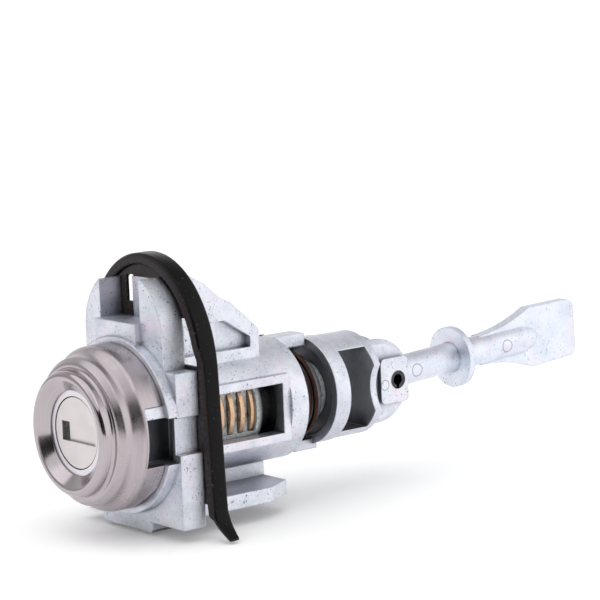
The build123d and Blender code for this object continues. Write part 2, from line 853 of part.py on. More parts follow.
# Yoke: one zinc die casting, a dished disc, an open cage, a plate and a fork with round ears
with BuildPart() as yoke:
    with BuildSketch(across(cage_front)):
        Circle(yoke_disc_radius)
    extrude(amount=yoke_disc_thickness)
    with BuildSketch(across(dish_floor)):
        Circle(yoke_dish_radius)
    extrude(amount=yoke_dish_depth, mode=Mode.SUBTRACT)
    with BuildSketch(across(cage_front)):
        Circle(tail_radius + running_gap)
        Rectangle(2 * yoke_disc_radius, tail_flats + 2 * running_gap, mode=Mode.INTERSECT)
    extrude(amount=yoke_disc_thickness, mode=Mode.SUBTRACT)
    with BuildSketch(across(plate_front)):
        Circle(cage_radius)
        Rectangle(2 * cage_radius, 2 * (cage_radius - cage_bar), mode=Mode.SUBTRACT)
    extrude(amount=cage_length)
    with BuildSketch(across(plate_rear)):
        Circle(cage_radius)
        scoop_place = cage_radius - waist_scoop + waist_scoop_radius
        with Locations((scoop_place, 0), (-scoop_place, 0)):
            Circle(waist_scoop_radius, mode=Mode.SUBTRACT)
    extrude(amount=yoke_plate)
    with BuildSketch(along(-fork_half_width)):
        with BuildLine():
            Line((plate_rear, -fork_radius), (fork_centre, -fork_radius))
            CenterArc((fork_centre, 0), fork_radius, start_angle=-90, arc_size=180)
            Line((fork_centre, fork_radius), (plate_rear, fork_radius))
            Line((plate_rear, fork_radius), (plate_rear, -fork_radius))
        make_face()
    extrude(amount=2 * fork_half_width)
    ear_rims = yoke.edges().filter_by(GeomType.CIRCLE).filter_by(
        lambda edge: edge.center().Y > fork_centre
    )
    chamfer(ear_rims, fork_rim)
    with BuildSketch(along(-ear_face)):
        with Locations((pin_place + ear_pad_shift, 0)):
            RectangleRounded(pad_length, pad_height, ear_pad_corner)
    extrude(amount=2 * ear_face)
    with BuildSketch(across(fork_centre + fork_radius)):
        Rectangle(2 * fork_gap, 2 * yoke_disc_radius)
    extrude(
        amount=fork_centre + fork_radius - plate_rear - fork_slot_floor,
        mode=Mode.SUBTRACT,
    )
    with BuildSketch(along(-ear_face)):
        with Locations((pin_place, 0)):
            Circle(pin_radius + seat_gap)
    extrude(amount=2 * ear_face, mode=Mode.SUBTRACT)
    with BuildSketch(across(dish_floor)):
        with Locations((0, -lug_inner)):
            Rectangle(peg_width, peg_height, align=(Align.CENTER, Align.MAX))
    extrude(amount=peg_length + yoke_dish_depth)
finish(yoke, "yoke")

# Yoke clip: a snap ring in the groove of the plug's tail
with BuildPart() as yoke_clip:
    with BuildSketch(across(clip_front + clip_thickness)):
        Circle(clip_radius)
        Circle(clip_groove_radius + seat_gap, mode=Mode.SUBTRACT)
        Rectangle(
            clip_mouth,
            clip_radius,
            align=(Align.CENTER, Align.MAX),
            mode=Mode.SUBTRACT,
        )
    extrude(amount=clip_thickness)
finish(yoke_clip, "yoke_clip")

# Roll pin: a slit steel tube through the fork and the eye of the rod
pin_end = ear_face - axial_gap
with BuildPart() as roll_pin:
    with BuildSketch(along(-pin_end)):
        with Locations((pin_place, 0)):
            Circle(pin_radius)
            Circle(pin_bore, mode=Mode.SUBTRACT)
            Rectangle(
                pin_slit,
                2 * pin_radius,
                align=(Align.CENTER, Align.MAX),
                mode=Mode.SUBTRACT,
            )
    extrude(amount=2 * pin_end)
finish(roll_pin, "roll_pin")

# Connecting rod: one zinc die casting, tilted up a little as it hangs on the roll pin
rod_direction = (0, cos(radians(rod_tilt)), sin(radians(rod_tilt)))
rod_plane = Plane(origin=(0, pin_place, 0), x_dir=rod_direction, z_dir=(1, 0, 0))
collar_front = collar_distance - collar_thickness / 2
with BuildPart() as connecting_rod:
    with BuildSketch(rod_plane):
        with BuildLine():
            Polyline(
                (0, 0),
                (0, rod_radius),
                (collar_front, rod_radius),
                (collar_front, collar_radius),
                (collar_front + collar_thickness, collar_radius),
                (collar_front + collar_thickness, rod_radius),
                (ridge_start, rod_radius),
                (ridge_brow, ridge_brow_radius),
                (ridge_end, paddle_thickness / 2),
                (ridge_end, 0),
                close=True,
            )
        make_face()
    revolve(axis=Axis((0, pin_place, 0), rod_direction))
    with BuildSketch(rod_plane):
        Circle(rod_eye_radius)
    extrude(amount=rod_eye_width / 2, both=True)
    with BuildSketch(rod_plane):
        with BuildLine():
            Line((flare_start, 0), (flare_start, rod_radius))
            ThreePointArc(
                (flare_start, rod_radius),
                ((flare_start + shoulder_distance) / 2, rod_radius + flare_rise),
                (shoulder_distance, paddle_width / 2),
            )
            Line((shoulder_distance, paddle_width / 2), (rod_length, paddle_width / 2 - paddle_taper))
            Line((rod_length, paddle_width / 2 - paddle_taper), (rod_length, 0))
            mirror(about=Plane.XZ)
        make_face()
    extrude(amount=paddle_thickness / 2, both=True)
    fillet(
        connecting_rod.edges().filter_by(Axis.X).group_by(Axis.Y)[-2:],
        paddle_corner,
    )
    with BuildSketch(rod_plane):
        Circle(pin_radius + running_gap)
    extrude(amount=rod_eye_width, both=True, mode=Mode.SUBTRACT)
finish(connecting_rod, "connecting_rod")
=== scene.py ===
"""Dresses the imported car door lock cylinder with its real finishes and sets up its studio.

Lengths are written in millimetres and turned to Blender's metres by MM. The lock axis runs along Y,
the face cap is at the -Y end, and +Z is up.
"""

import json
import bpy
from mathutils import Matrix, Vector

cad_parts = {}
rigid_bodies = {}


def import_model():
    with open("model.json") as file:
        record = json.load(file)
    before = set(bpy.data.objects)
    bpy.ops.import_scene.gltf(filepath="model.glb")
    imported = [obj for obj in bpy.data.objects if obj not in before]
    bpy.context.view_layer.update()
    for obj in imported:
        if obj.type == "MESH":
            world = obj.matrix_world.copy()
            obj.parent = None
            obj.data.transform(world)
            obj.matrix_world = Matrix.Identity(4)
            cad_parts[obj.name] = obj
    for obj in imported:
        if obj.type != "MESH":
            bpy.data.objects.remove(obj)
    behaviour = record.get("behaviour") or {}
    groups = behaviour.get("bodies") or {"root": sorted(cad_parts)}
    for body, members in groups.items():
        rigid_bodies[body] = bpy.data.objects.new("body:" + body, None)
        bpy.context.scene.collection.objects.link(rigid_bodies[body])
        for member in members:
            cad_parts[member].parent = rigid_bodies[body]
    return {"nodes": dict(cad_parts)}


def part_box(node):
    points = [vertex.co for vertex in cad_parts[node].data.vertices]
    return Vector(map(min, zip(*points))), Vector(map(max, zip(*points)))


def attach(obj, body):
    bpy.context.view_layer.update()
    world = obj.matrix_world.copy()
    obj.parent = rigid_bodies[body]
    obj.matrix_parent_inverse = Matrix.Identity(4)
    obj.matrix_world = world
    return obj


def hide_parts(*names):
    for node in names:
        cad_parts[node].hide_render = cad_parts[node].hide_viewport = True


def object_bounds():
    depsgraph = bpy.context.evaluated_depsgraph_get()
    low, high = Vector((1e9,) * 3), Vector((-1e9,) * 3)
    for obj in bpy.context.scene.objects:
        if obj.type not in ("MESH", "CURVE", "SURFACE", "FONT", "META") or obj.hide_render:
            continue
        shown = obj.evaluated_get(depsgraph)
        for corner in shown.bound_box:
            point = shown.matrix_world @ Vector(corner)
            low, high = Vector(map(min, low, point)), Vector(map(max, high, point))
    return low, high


bl_info = {
    "name": "Car Door Lock Cylinder",
    "version": (1, 0, 0),
    "blender": (4, 5, 0),
    "location": "View3D > Sidebar > Lock Cylinder",
    "description": "Dresses the packed lock cylinder with its finishes and sets up its studio",
    "category": "Object",
}

import bmesh
import bpy
import numpy as np
from bpy.props import FloatProperty, FloatVectorProperty, IntProperty, PointerProperty
from mathutils import Matrix, Vector

for leftover in list(bpy.data.objects):
    bpy.data.objects.remove(leftover)
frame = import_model()

MM = 0.001
CAD_BOUNDS = [list(corner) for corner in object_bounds()]
WAFERS = [name for name in sorted(frame["nodes"]) if name.startswith("wafer_") and "spring" not in name]


def box_mm(node):
    """Lowest and highest corner of a CAD node, in millimetres."""
    low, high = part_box(node)
    return np.array(low) / MM, np.array(high) / MM


def middle_mm(node):
    """Middle of a CAD node's box, in millimetres."""
    return sum(box_mm(node)) / 2


def linear(hex_colour):
    """Linear red, green and blue of an sRGB colour written as #rrggbb."""
    channels = np.array([int(hex_colour[place : place + 2], 16) for place in (1, 3, 5)]) / 255
    return np.where(channels <= 0.04045, channels / 12.92, ((channels + 0.055) / 1.055) ** 2.4).tolist()


def colour_property(name, description, hex_colour):
    """Colour that a user may change in the panel."""
    return FloatVectorProperty(
        name=name,
        description=description,
        subtype="COLOR",
        size=3,
        min=0.0,
        max=1.0,
        default=linear(hex_colour),
    )


def length_property(name, description, default, smallest=0.01):
    """Length in millimetres that a user may change in the panel."""
    return FloatProperty(
        name=name, description=description + ", in millimetres", default=default, min=smallest
    )


def angle_property(name, description, default, smallest=-360.0):
    """Angle in degrees that a user may change in the panel."""
    return FloatProperty(name=name, description=description + ", in degrees", default=default, min=smallest)


def number_property(name, description, default):
    """Strength or share that a user may change in the panel."""
    return FloatProperty(name=name, description=description, default=default, min=0.0)


class LockSizes(bpy.types.PropertyGroup):
    """Sizes of the surfaces that this scene makes, and of the patterns in the finishes."""

    edge_radius: length_property("Casting edge", "Radius that tumbling leaves on the castings' edges", 0.35)
    rubber_radius: length_property("Rubber edge", "Radius on the edges of the gasket", 0.55)
    gasket_band: length_property("Gasket band", "Thickness of the gasket's band", 2.0)
    gasket_half_width: length_property("Gasket waist", "Half width of the gasket at its arch's start", 16.1)
    gasket_waist: length_property("Arch start", "Height over the lock axis at the arch's start", 9.0)
    gasket_leg_half_width: length_property("Gasket foot", "Half width of the gasket at its foot", 17.2)
    arch_rise: length_property("Arch rise", "How far the band stands out in front at the arch", 0.6)
    web_sheet: length_property("Gasket web", "Thickness of the gasket's web", 0.6)
    web_foot: length_property("Web foot", "Height at which the web ends", -12.4, smallest=-50.0)
    slit_width: length_property("Slit", "Width of the slit in the gasket's web", 2.0)
    slit_shift: length_property("Slit place", "Distance of the slit from the middle", -3.8, smallest=-50.0)
    lip_sheet: length_property("Lip", "Thickness of the gasket's lips", 0.85)
    lip_drop: length_property("Lip drop", "Height of a leg's foot over its lip's tip", 3.6)
    lip_length: length_property("Lip length", "Length of the lips", 4.3)
    lip_bend: length_property("Lip bend", "Length over which the lips bend", 3.0)
    lip_taper: number_property("Lip taper", "Share of its depth that a lip loses at its tip", 0.42)
    cap_sheet: length_property("Cap sheet", "Thickness of the sheet of the face cap", 0.8)
    skirt_length: length_property("Cap skirt", "Length of the straight skirt of the face cap", 4.35)
    cap_step: length_property("Cap step", "Width of the step in front of the skirt", 1.4)
    cap_band: length_property("Cap band", "Length of the band in front of the step", 1.5)
    cap_saddle: length_property("Cap saddle", "Depth of the saddle between the band and the bead", 1.0)
    bead_width: length_property("Bead width", "Width of the bead round the mouth of the face cap", 3.4)
    skirt_round: length_property("Skirt bend", "Radius of the bends on both sides of the step", 1.7)
    band_round: length_property("Band bend", "Radius of the bends of the band and the saddle", 1.0)
    bead_round: length_property("Bead bend", "Radius of the outer side of the bead", 1.0)
    crest_width: length_property("Crest width", "Distance from the bead's outer side to its slope", 1.35)
    mouth_round: length_property("Mouth bend", "Radius of the bend from the crest to the slope", 1.1)
    mouth_lip: length_property("Mouth lip", "Straight lip at the foot of the slope", 0.25)
    inner_round: length_property("Inner bend", "Radius of the bends inside the face cap", 0.3)
    port_floor: length_property("Port floor", "Distance of the side port's floor from the lock axis", 9.6)
    port_rear: length_property("Port rear", "Length of the side port behind the skirt's edge", 3.4)
    port_top: length_property("Port top", "Height of the side port's top over the lock axis", 2.9)
    port_bottom: length_property("Port bottom", "Height of the side port's foot", -4.8, smallest=-50.0)
    notch_height: length_property("Notch height", "Height of the notch in the side of the skirt", 10.0)
    notch_depth: length_property("Notch depth", "Length of the notch along the axis", 3.9)
    scallop_radius: length_property("Scallop radius", "Radius of the scallop under the skirt", 5.0)
    scallop_depth: length_property("Scallop depth", "Depth of the scallop under the skirt", 1.2)
    spring_wire: length_property("Spring wire", "Diameter of the wire of the return spring", 0.95)
    spring_radius: length_property("Spring radius", "Radius of the coil at the middle of its wire", 7.6)
    spring_pitch: length_property("Spring pitch", "Advance of the coil in each turn", 1.5)
    spring_bend: length_property("Spring bend", "Length over which the legs of the return spring bend", 1.4)
    top_leg: length_property("Top leg", "Distance of the top leg from the middle of the lock", 2.5)
    bottom_leg: length_property("Bottom leg", "Distance of the bottom leg from the middle of the lock", 2.6)
    small_wire: length_property("Small wire", "Diameter of the wire of the small springs", 0.26)
    cloud: length_property("Cloud size", "Size of the soft patches in the plating", 4.0)
    cluster: length_property("Cluster size", "Size of the groups that the pits stand in", 5.5)
    # The real grain, mottles and brush lines are finer: they are drawn as coarse as they need to show
    grain: length_property("Casting grain", "Size of the grain on the castings", 0.45)
    pit: length_property("Pit size", "Spacing of the pits in the castings", 0.42)
    raw_mottle: length_property("Raw mottle", "Size of the patches on the plug's raw casting", 0.9)
    raw_grain: length_property("Raw grain", "Size of the grain on the plug's raw casting", 0.6)
    scuff: length_property("Scuff size", "Size of the scuffs on the plug's raw casting", 0.5)
    brush: length_property("Brush line", "Width of the brush lines on the face cap", 0.1)
    speckle: length_property("Speckle", "Size of the darker specks in the satin sheet", 0.35)
    smear: length_property("Smear", "Size of the duller patches on the satin sheet", 3.0)
    dust_speck: length_property("Dust size", "Spacing of the specks of dust on the rubber", 0.5)
    wax: length_property("Wax patches", "Size of the patches in the rubber's waxy skin", 1.6)
    corner_reach: length_property("Corner reach", "Distance at which a wall shades another", 6.5)
    turns_round: IntProperty(
        name="Steps round", description="Steps round each turned surface", default=288, min=48, max=720
    )


class LockColours(bpy.types.PropertyGroup):
    """Colours of the finishes."""

    zinc: colour_property("Zinc", "Plated zinc casting in full light", "#e3e6ee")
    zinc_shade: colour_property("Zinc shade", "Cloudy patches in the plating", "#bfc5d1")
    zinc_tint: colour_property("Zinc tint", "Faint pink of the passivated film", "#e8dde8")
    # Dark of the pits, and the painted shade in corners, creases and the side port
    zinc_dark: colour_property("Zinc grime", "Grime in the corners and the pits", "#24262b")
    # Also the brighter edges of the plated castings: rubbed wear, partly a painted highlight
    rod_zinc: colour_property("Rod zinc", "Whiter casting of the connecting rod", "#e8ecf6")
    rod_shade: colour_property("Rod shade", "Cloudy patches on the connecting rod", "#cdd7e5")
    raw_zinc: colour_property("Raw zinc", "Unplated casting of the plug", "#e8ecec")
    raw_shade: colour_property("Raw shade", "Grey green patches on the plug", "#b4bcba")
    stainless: colour_property("Stainless", "Satin stainless sheet", "#bab1b5")
    stainless_line: colour_property("Brush line", "Darker lines in the satin sheet", "#a8a0a4")
    ring: colour_property("Mouth ring", "Satin ring in the mouth of the cap", "#e6e3ea")
    satin: colour_property("Satin steel", "Small steel parts", "#d8d3d4")
    disc: colour_property("Face disc", "Satin disc round the keyway and the shutter in it", "#dbd4d5")
    rubber: colour_property("Rubber", "Gasket rubber", "#080506")
    # Painted light: the gasket's faces that look towards the cap get this paler brown, as if lit
    bloom: colour_property("Rubber bloom", "Paler brown film on the gasket's flat face", "#352e2f")
    dust: colour_property("Dust", "Specks of dust on the rubber", "#8b8581")
    spring: colour_property("Return spring", "Copper brown spring wire", "#46302a")
    spring_steel: colour_property("Spring steel", "Wire of the small springs", "#b9bcc2")
    # Painted shade: near black inside the plug's barrel, behind the last wafer and below the wafers' crests
    grease: colour_property("Grease", "Greased dirt in the plug", "#0d0c0c")
    brass: colour_property("Brass", "Wafers", "#d9b493")
    black_steel: colour_property("Black steel", "Roll pin", "#55555a")
    # Painted shade: a darker steel grey for the shade of the yoke on the sleeve and the clip
    dark_steel: colour_property("Dark steel", "Sleeve and clip in the shade of the yoke", "#8d8d93")
    floor: colour_property("Floor", "Studio floor", "#f7f7f7")


class LockView(bpy.types.PropertyGroup):
    """Place of the camera round the lock, and the light."""

    azimuth: angle_property("Azimuth", "Angle of the view from -Y towards +X", 51.285)
    elevation: angle_property("Elevation", "Angle of the view above the horizon", 8.779)
    roll: angle_property("Roll", "Turn of the camera about its own view", -2.238)
    distance: length_property("Distance", "Distance from the camera to the point that it looks at", 489.19)
    focal: length_property("Focal length", "Focal length of the camera on a 36 mm sensor", 165.42)
    target: FloatVectorProperty(
        name="Target",
        description="Point that the camera looks at, in millimetres",
        size=3,
        default=(-3.618, 43.06, 15.426),
    )
    key_light: number_property("Key light", "Strength of the main light", 1.35)
    fill_light: number_property("Fill light", "Strength of the side light", 0.4)
    softness: angle_property("Softness", "Angle over which each light spreads", 84.0, smallest=1.0)
    ambient: number_property("Ambient", "Strength of the even light all round", 0.6)


def add_node(tree, kind, sockets=(), **settings):
    """Add a node with its settings and links.

    Its sockets are given by identifier, or in order for plain sums, and each takes a value, an output, or
    a node's first live output.
    """
    node = tree.nodes.new(kind)
    for name, value in settings.items():
        setattr(node, name, value)
    inputs = {socket.identifier: socket for socket in node.inputs}
    by_name = sockets if isinstance(sockets, dict) else dict(zip(inputs, sockets))
    for name, value in by_name.items():
        if isinstance(value, bpy.types.Node):
            value = next(output for output in value.outputs if output.enabled)
        if isinstance(value, bpy.types.NodeSocket):
            tree.links.new(value, inputs[name])
        else:
            inputs[name].default_value = value
    return node


def new_material(name):
    """Empty material with its tree and Object coordinates."""
    material = bpy.data.materials.new(name)
    material.use_nodes = True
    tree = material.node_tree
    tree.nodes.clear()
    return material, tree, add_node(tree, "ShaderNodeTexCoord").outputs["Object"]


def rgba(colour):
    """Colour with full opacity, as sockets take it."""
    return (*colour, 1.0)


def per_mm(size):
    """Texture scale that gives a pattern of this size in millimetres on Object coordinates."""
    return 1 / (size * MM)


def patches(tree, place, size, span, share, detail=3.0):
    """Cloudy pattern with patches of a size in millimetres.

    As its noise rises over the span, the share goes from its first value to its last.
    """
    noise = add_node(
        tree,
        "ShaderNodeTexNoise",
        {"Vector": place, "Scale": per_mm(size), "Detail": detail, "Roughness": 0.65},
    )
    return add_node(
        tree,
        "ShaderNodeMapRange",
        {"Value": noise, "From Min": span[0], "From Max": span[1], "To Min": share[0], "To Max": share[1]},
    )


def sheltered(tree, reach, span, share, samples):
    """Corner pattern, from how much of the sky the walls within a reach in millimetres leave open.

    As the open part grows over the span, the share goes from its first value to its last.
    """
    sky = add_node(
        tree, "ShaderNodeAmbientOcclusion", {"Distance": reach * MM}, samples=samples
    ).outputs["AO"]
    return add_node(
        tree,
        "ShaderNodeMapRange",
        {"Value": sky, "From Min": span[0], "From Max": span[1], "To Min": share[0], "To Max": share[1]},
    )


def within(tree, place, low, high, share):
    """The share inside a box with these corners in millimetres, and nought outside it."""
    middle = (np.array(low) + np.array(high)) / 2
    half = (np.array(high) - np.array(low)) / 2
    off = add_node(tree, "ShaderNodeVectorMath", (place, (middle * MM).tolist()), operation="SUBTRACT")
    away = add_node(tree, "ShaderNodeVectorMath", {"Vector": off}, operation="ABSOLUTE")
    drawn = share
    for socket, reach in zip(add_node(tree, "ShaderNodeSeparateXYZ", {"Vector": away}).outputs, half):
        inside = add_node(tree, "ShaderNodeMath", (socket, reach * MM), operation="LESS_THAN")
        drawn = add_node(tree, "ShaderNodeMath", (drawn, inside), operation="MULTIPLY")
    return drawn


def ring_marks(tree, place, circles):
    """Thin rings that ejector pins leave: where the distance from a centre is close to its radius."""
    drawn = 0.0
    for centre, radius, width in circles:
        reach = add_node(
            tree,
            "ShaderNodeVectorMath",
            (place, [length * MM for length in centre]),
            operation="DISTANCE",
        )
        off = add_node(tree, "ShaderNodeMath", (reach, radius * MM), operation="SUBTRACT")
        away = add_node(tree, "ShaderNodeMath", {"Value": off}, operation="ABSOLUTE")
        ring = add_node(
            tree,
            "ShaderNodeMapRange",
            {
                "Value": away,
                "From Min": width / 3 * MM,
                "From Max": width * MM,
                "To Min": 1.0,
                "To Max": 0.0,
            },
        )
        drawn = add_node(tree, "ShaderNodeMath", (drawn, ring), operation="MAXIMUM")
    return drawn


def from_axis(tree, place):
    """Distance from the lock axis: the length of what is left of a place without its Y."""
    across = add_node(tree, "ShaderNodeVectorMath", (place, (1, 0, 1)), operation="MULTIPLY")
    return add_node(tree, "ShaderNodeVectorMath", {"Vector": across}, operation="LENGTH").outputs["Value"]


def layered(tree, colour, layers):
    """Colour with others laid over it in turn, each with the share that it covers."""
    painted = rgba(colour)
    for cover, over in layers:
        painted = add_node(
            tree,
            "ShaderNodeMix",
            {"Factor_Float": cover, "A_Color": painted, "B_Color": rgba(over)},
            data_type="RGBA",
        )
    return painted


def close_material(tree, sockets):
    """Principled shader with these sockets, and the output."""
    shader = add_node(tree, "ShaderNodeBsdfPrincipled", sockets)
    add_node(tree, "ShaderNodeOutputMaterial", {"Surface": shader})


def cast_zinc(
    name, colour, shade, pit_share, relief_depth, circles=(), reach_share=1.0, open_from=0.5, hollow=None
):
    """Zinc alloy, die cast, tumbled and zinc plated, with a clear blue passivation.

    The eye gets a bright cool white with soft patches and a faint pink film, fine dark pits in groups,
    brighter edges, faint rings where ejector pins stood, and painted shade in deep grey. The brighter edges
    are rubbed wear and partly a painted highlight. The painted shade lies in corners and creases, by a
    share of the corner reach and the part of the sky from which a place counts as open, and in a hollow,
    which is given as a box and its share of painted shade.
    """
    sizes = bpy.context.scene.lock_sizes
    colours = bpy.context.scene.lock_colours
    material, tree, place = new_material(name)
    rounded = add_node(tree, "ShaderNodeBevel", {"Radius": sizes.edge_radius * MM}, samples=6)
    flat = add_node(tree, "ShaderNodeNewGeometry").outputs["Normal"]
    facing = add_node(tree, "ShaderNodeVectorMath", (rounded, flat), operation="DOT_PRODUCT")
    # Painted highlight, partly rubbed wear: the edges where the rounded normal turns from the flat one get
    # brighter
    edge = add_node(
        tree,
        "ShaderNodeMapRange",
        {"Value": facing, "From Min": 0.99, "From Max": 0.82, "To Min": 0.0, "To Max": 0.6},
    )
    cloudy = patches(tree, place, sizes.cloud, (0.4, 0.7), (0.0, 0.6))
    film = patches(tree, place, 1.7 * sizes.cloud, (0.5, 0.66), (0.0, 0.7))
    grouped = patches(tree, place, sizes.cluster, (0.4, 0.6), (0.25, 1.0))
    pitted = patches(tree, place, sizes.pit, (0.625, 0.67), (0.0, pit_share), 2.0)
    # Painted shade: darker in corners, and in thin lines in creases, by how much of the sky the walls
    # nearby hide
    deep = sheltered(tree, reach_share * sizes.corner_reach, (0.12, open_from), (0.93, 0.0), 8)
    crease_shade = sheltered(tree, 0.12 * sizes.corner_reach, (0.45, 0.72), (0.6, 0.0), 6)
    shaded = add_node(tree, "ShaderNodeMath", (deep, crease_shade), operation="MAXIMUM")
    # Painted shade inside the hollow's box
    if hollow:
        sunken_shade = within(tree, place, *hollow)
        shaded = add_node(tree, "ShaderNodeMath", (shaded, sunken_shade), operation="MAXIMUM")
    pits = add_node(tree, "ShaderNodeMath", (pitted, grouped), operation="MULTIPLY")
    if circles:
        rings = ring_marks(tree, place, circles)
        faint = add_node(tree, "ShaderNodeMath", (rings, 0.55), operation="MULTIPLY")
        pits = add_node(tree, "ShaderNodeMath", (pits, faint), operation="MAXIMUM")
    darkening = add_node(tree, "ShaderNodeMath", (pits, shaded), operation="MAXIMUM")
    # Layers: pink film, cloudy patches, brighter edges (wear and painted highlight), then the pits and the
    # painted shade in deep grey
    layers = [
        (film, colours.zinc_tint),
        (cloudy, shade),
        (edge, colours.rod_zinc),
        (darkening, colours.zinc_dark),
    ]
    grain = patches(tree, place, sizes.grain, (0.3, 0.7), (0.0, 1.0), 5.0)
    dull = add_node(tree, "ShaderNodeMapRange", {"Value": grain, "To Min": 0.34, "To Max": 0.52})
    height = add_node(tree, "ShaderNodeMath", (grain, pits), operation="SUBTRACT")
    relief = add_node(
        tree,
        "ShaderNodeBump",
        {"Strength": relief_depth, "Distance": 0.08 * MM, "Height": height, "Normal": rounded},
    )
    close_material(
        tree,
        {
            "Base Color": layered(tree, colour, layers),
            "Metallic": 1.0,
            "Roughness": dull,
            "Normal": relief,
        },
    )
    return material


def raw_zinc(name, colour, shade):
    """Zinc alloy as it leaves the die: a dull grey green skin, rough and crumbly on its thin webs.

    The eye gets a coarse matt grain, pale scuffs on the edges, and near black painted shade inside the
    barrel, behind the last wafer and deeper than the wafers' crests, and in corners.
    """
    sizes = bpy.context.scene.lock_sizes
    colours = bpy.context.scene.lock_colours
    material, tree, place = new_material(name)
    _, wafer_rear, wafer_crest = box_mm(WAFERS[-1])[1]
    barrel_rear = box_mm("spring_sleeve")[0][1]
    shade_start, shade_full = wafer_rear + 0.4, wafer_rear + 1.2
    sunken_floor, sunken_edge = wafer_crest - 1.1, wafer_crest - 0.35
    rounded = add_node(tree, "ShaderNodeBevel", {"Radius": 0.6 * sizes.edge_radius * MM}, samples=6)
    mottled = patches(tree, place, sizes.raw_mottle, (0.4, 0.62), (0.0, 1.0), 5.0)
    scuffed = patches(tree, place, sizes.scuff, (0.56, 0.66), (0.0, 0.8), 5.0)
    along = add_node(tree, "ShaderNodeSeparateXYZ", {"Vector": place}).outputs["Y"]
    # Painted shade, near black, inside the barrel: behind the last wafer, and deeper than the wafers'
    # crests
    behind = add_node(
        tree,
        "ShaderNodeMapRange",
        {
            "Value": along,
            "From Min": shade_start * MM,
            "From Max": shade_full * MM,
            "To Min": 0.0,
            "To Max": 0.93,
        },
    )
    sunken_shade = add_node(
        tree,
        "ShaderNodeMapRange",
        {
            "Value": from_axis(tree, place),
            "From Min": sunken_floor * MM,
            "From Max": sunken_edge * MM,
            "To Min": 0.9,
            "To Max": 0.0,
        },
    )
    cavity_shade = add_node(tree, "ShaderNodeMath", (behind, sunken_shade), operation="MAXIMUM")
    inside = add_node(tree, "ShaderNodeMath", (along, barrel_rear * MM), operation="LESS_THAN")
    black = add_node(tree, "ShaderNodeMath", (cavity_shade, inside), operation="MULTIPLY")
    # Painted shade in the corners
    deep = sheltered(tree, 0.3 * sizes.corner_reach, (0.03, 0.22), (0.95, 0.0), 8)
    darkening = add_node(tree, "ShaderNodeMath", (black, deep), operation="MAXIMUM")
    toned_and_shaded = layered(tree, colour, [(mottled, shade), (scuffed, colours.zinc), (darkening, colours.grease)])
    grain = patches(tree, place, sizes.raw_grain, (0.3, 0.7), (0.0, 1.0), 5.0)
    relief = add_node(
        tree,
        "ShaderNodeBump",
        {"Strength": 0.8, "Distance": 0.2 * MM, "Height": grain, "Normal": rounded},
    )
    close_material(tree, {"Base Color": toned_and_shaded, "Metallic": 0.4, "Roughness": 0.5, "Normal": relief})
    return material


def satin_sheet(name, colour, line, roughness, line_depth, polished_from=None):
    """Stainless sheet, deep drawn and satin brushed round the lock axis.

    The eye gets a warm grey with broad soft reflections, a fine cloud and faint rings, and clearer
    reflections where handling has polished it, in front of a place on the axis. The rings follow the
    turn, because their noise reads the distance from the axis and along it finely, and the direction
    round the axis coarsely.
    """
    sizes = bpy.context.scene.lock_sizes
    material, tree, place = new_material(name)
    parts = add_node(tree, "ShaderNodeSeparateXYZ", {"Vector": place}).outputs
    flat = add_node(tree, "ShaderNodeCombineXYZ", {"X": parts["X"], "Y": parts["Z"]})
    radius = add_node(tree, "ShaderNodeVectorMath", {"Vector": flat}, operation="LENGTH")
    turn = add_node(tree, "ShaderNodeVectorMath", {"Vector": flat}, operation="NORMALIZE")
    turned = add_node(tree, "ShaderNodeSeparateXYZ", {"Vector": turn}).outputs
    reach = add_node(tree, "ShaderNodeMath", (radius, parts["Y"]), operation="SUBTRACT")
    fine = add_node(tree, "ShaderNodeMath", (reach, per_mm(sizes.brush)), operation="MULTIPLY")
    stretched = add_node(tree, "ShaderNodeCombineXYZ", {"X": turned["X"], "Y": fine, "Z": turned["Y"]})
    lines = add_node(
        tree, "ShaderNodeTexNoise", {"Vector": stretched, "Scale": 1.0, "Detail": 4.0, "Roughness": 0.7}
    ).outputs["Fac"]
    drawn = add_node(
        tree,
        "ShaderNodeMapRange",
        {"Value": lines, "From Min": 0.4, "From Max": 0.65, "To Min": 0.0, "To Max": 0.6},
    )
    speckled = patches(tree, place, sizes.speckle, (0.5, 0.7), (0.0, 0.5))
    marked = add_node(tree, "ShaderNodeMath", (drawn, speckled), operation="MAXIMUM")
    smeared = patches(tree, place, sizes.smear, (0.35, 0.65), (roughness - 0.04, roughness + 0.06))
    if polished_from is not None:
        blend = 0.5
        worn = add_node(
            tree,
            "ShaderNodeMapRange",
            {
                "Value": parts["Y"],
                "From Min": (polished_from - blend) * MM,
                "From Max": (polished_from + blend) * MM,
                "To Min": 0.5,
                "To Max": 1.0,
            },
        )
        smeared = add_node(tree, "ShaderNodeMath", (smeared, worn), operation="MULTIPLY")
    relief = add_node(
        tree, "ShaderNodeBump", {"Strength": line_depth, "Distance": 0.02 * MM, "Height": lines}
    )
    close_material(
        tree,
        {
            "Base Color": layered(tree, colour, [(marked, line)]),
            "Metallic": 1.0,
            "Roughness": smeared,
            "Normal": relief,
        },
    )
    return material


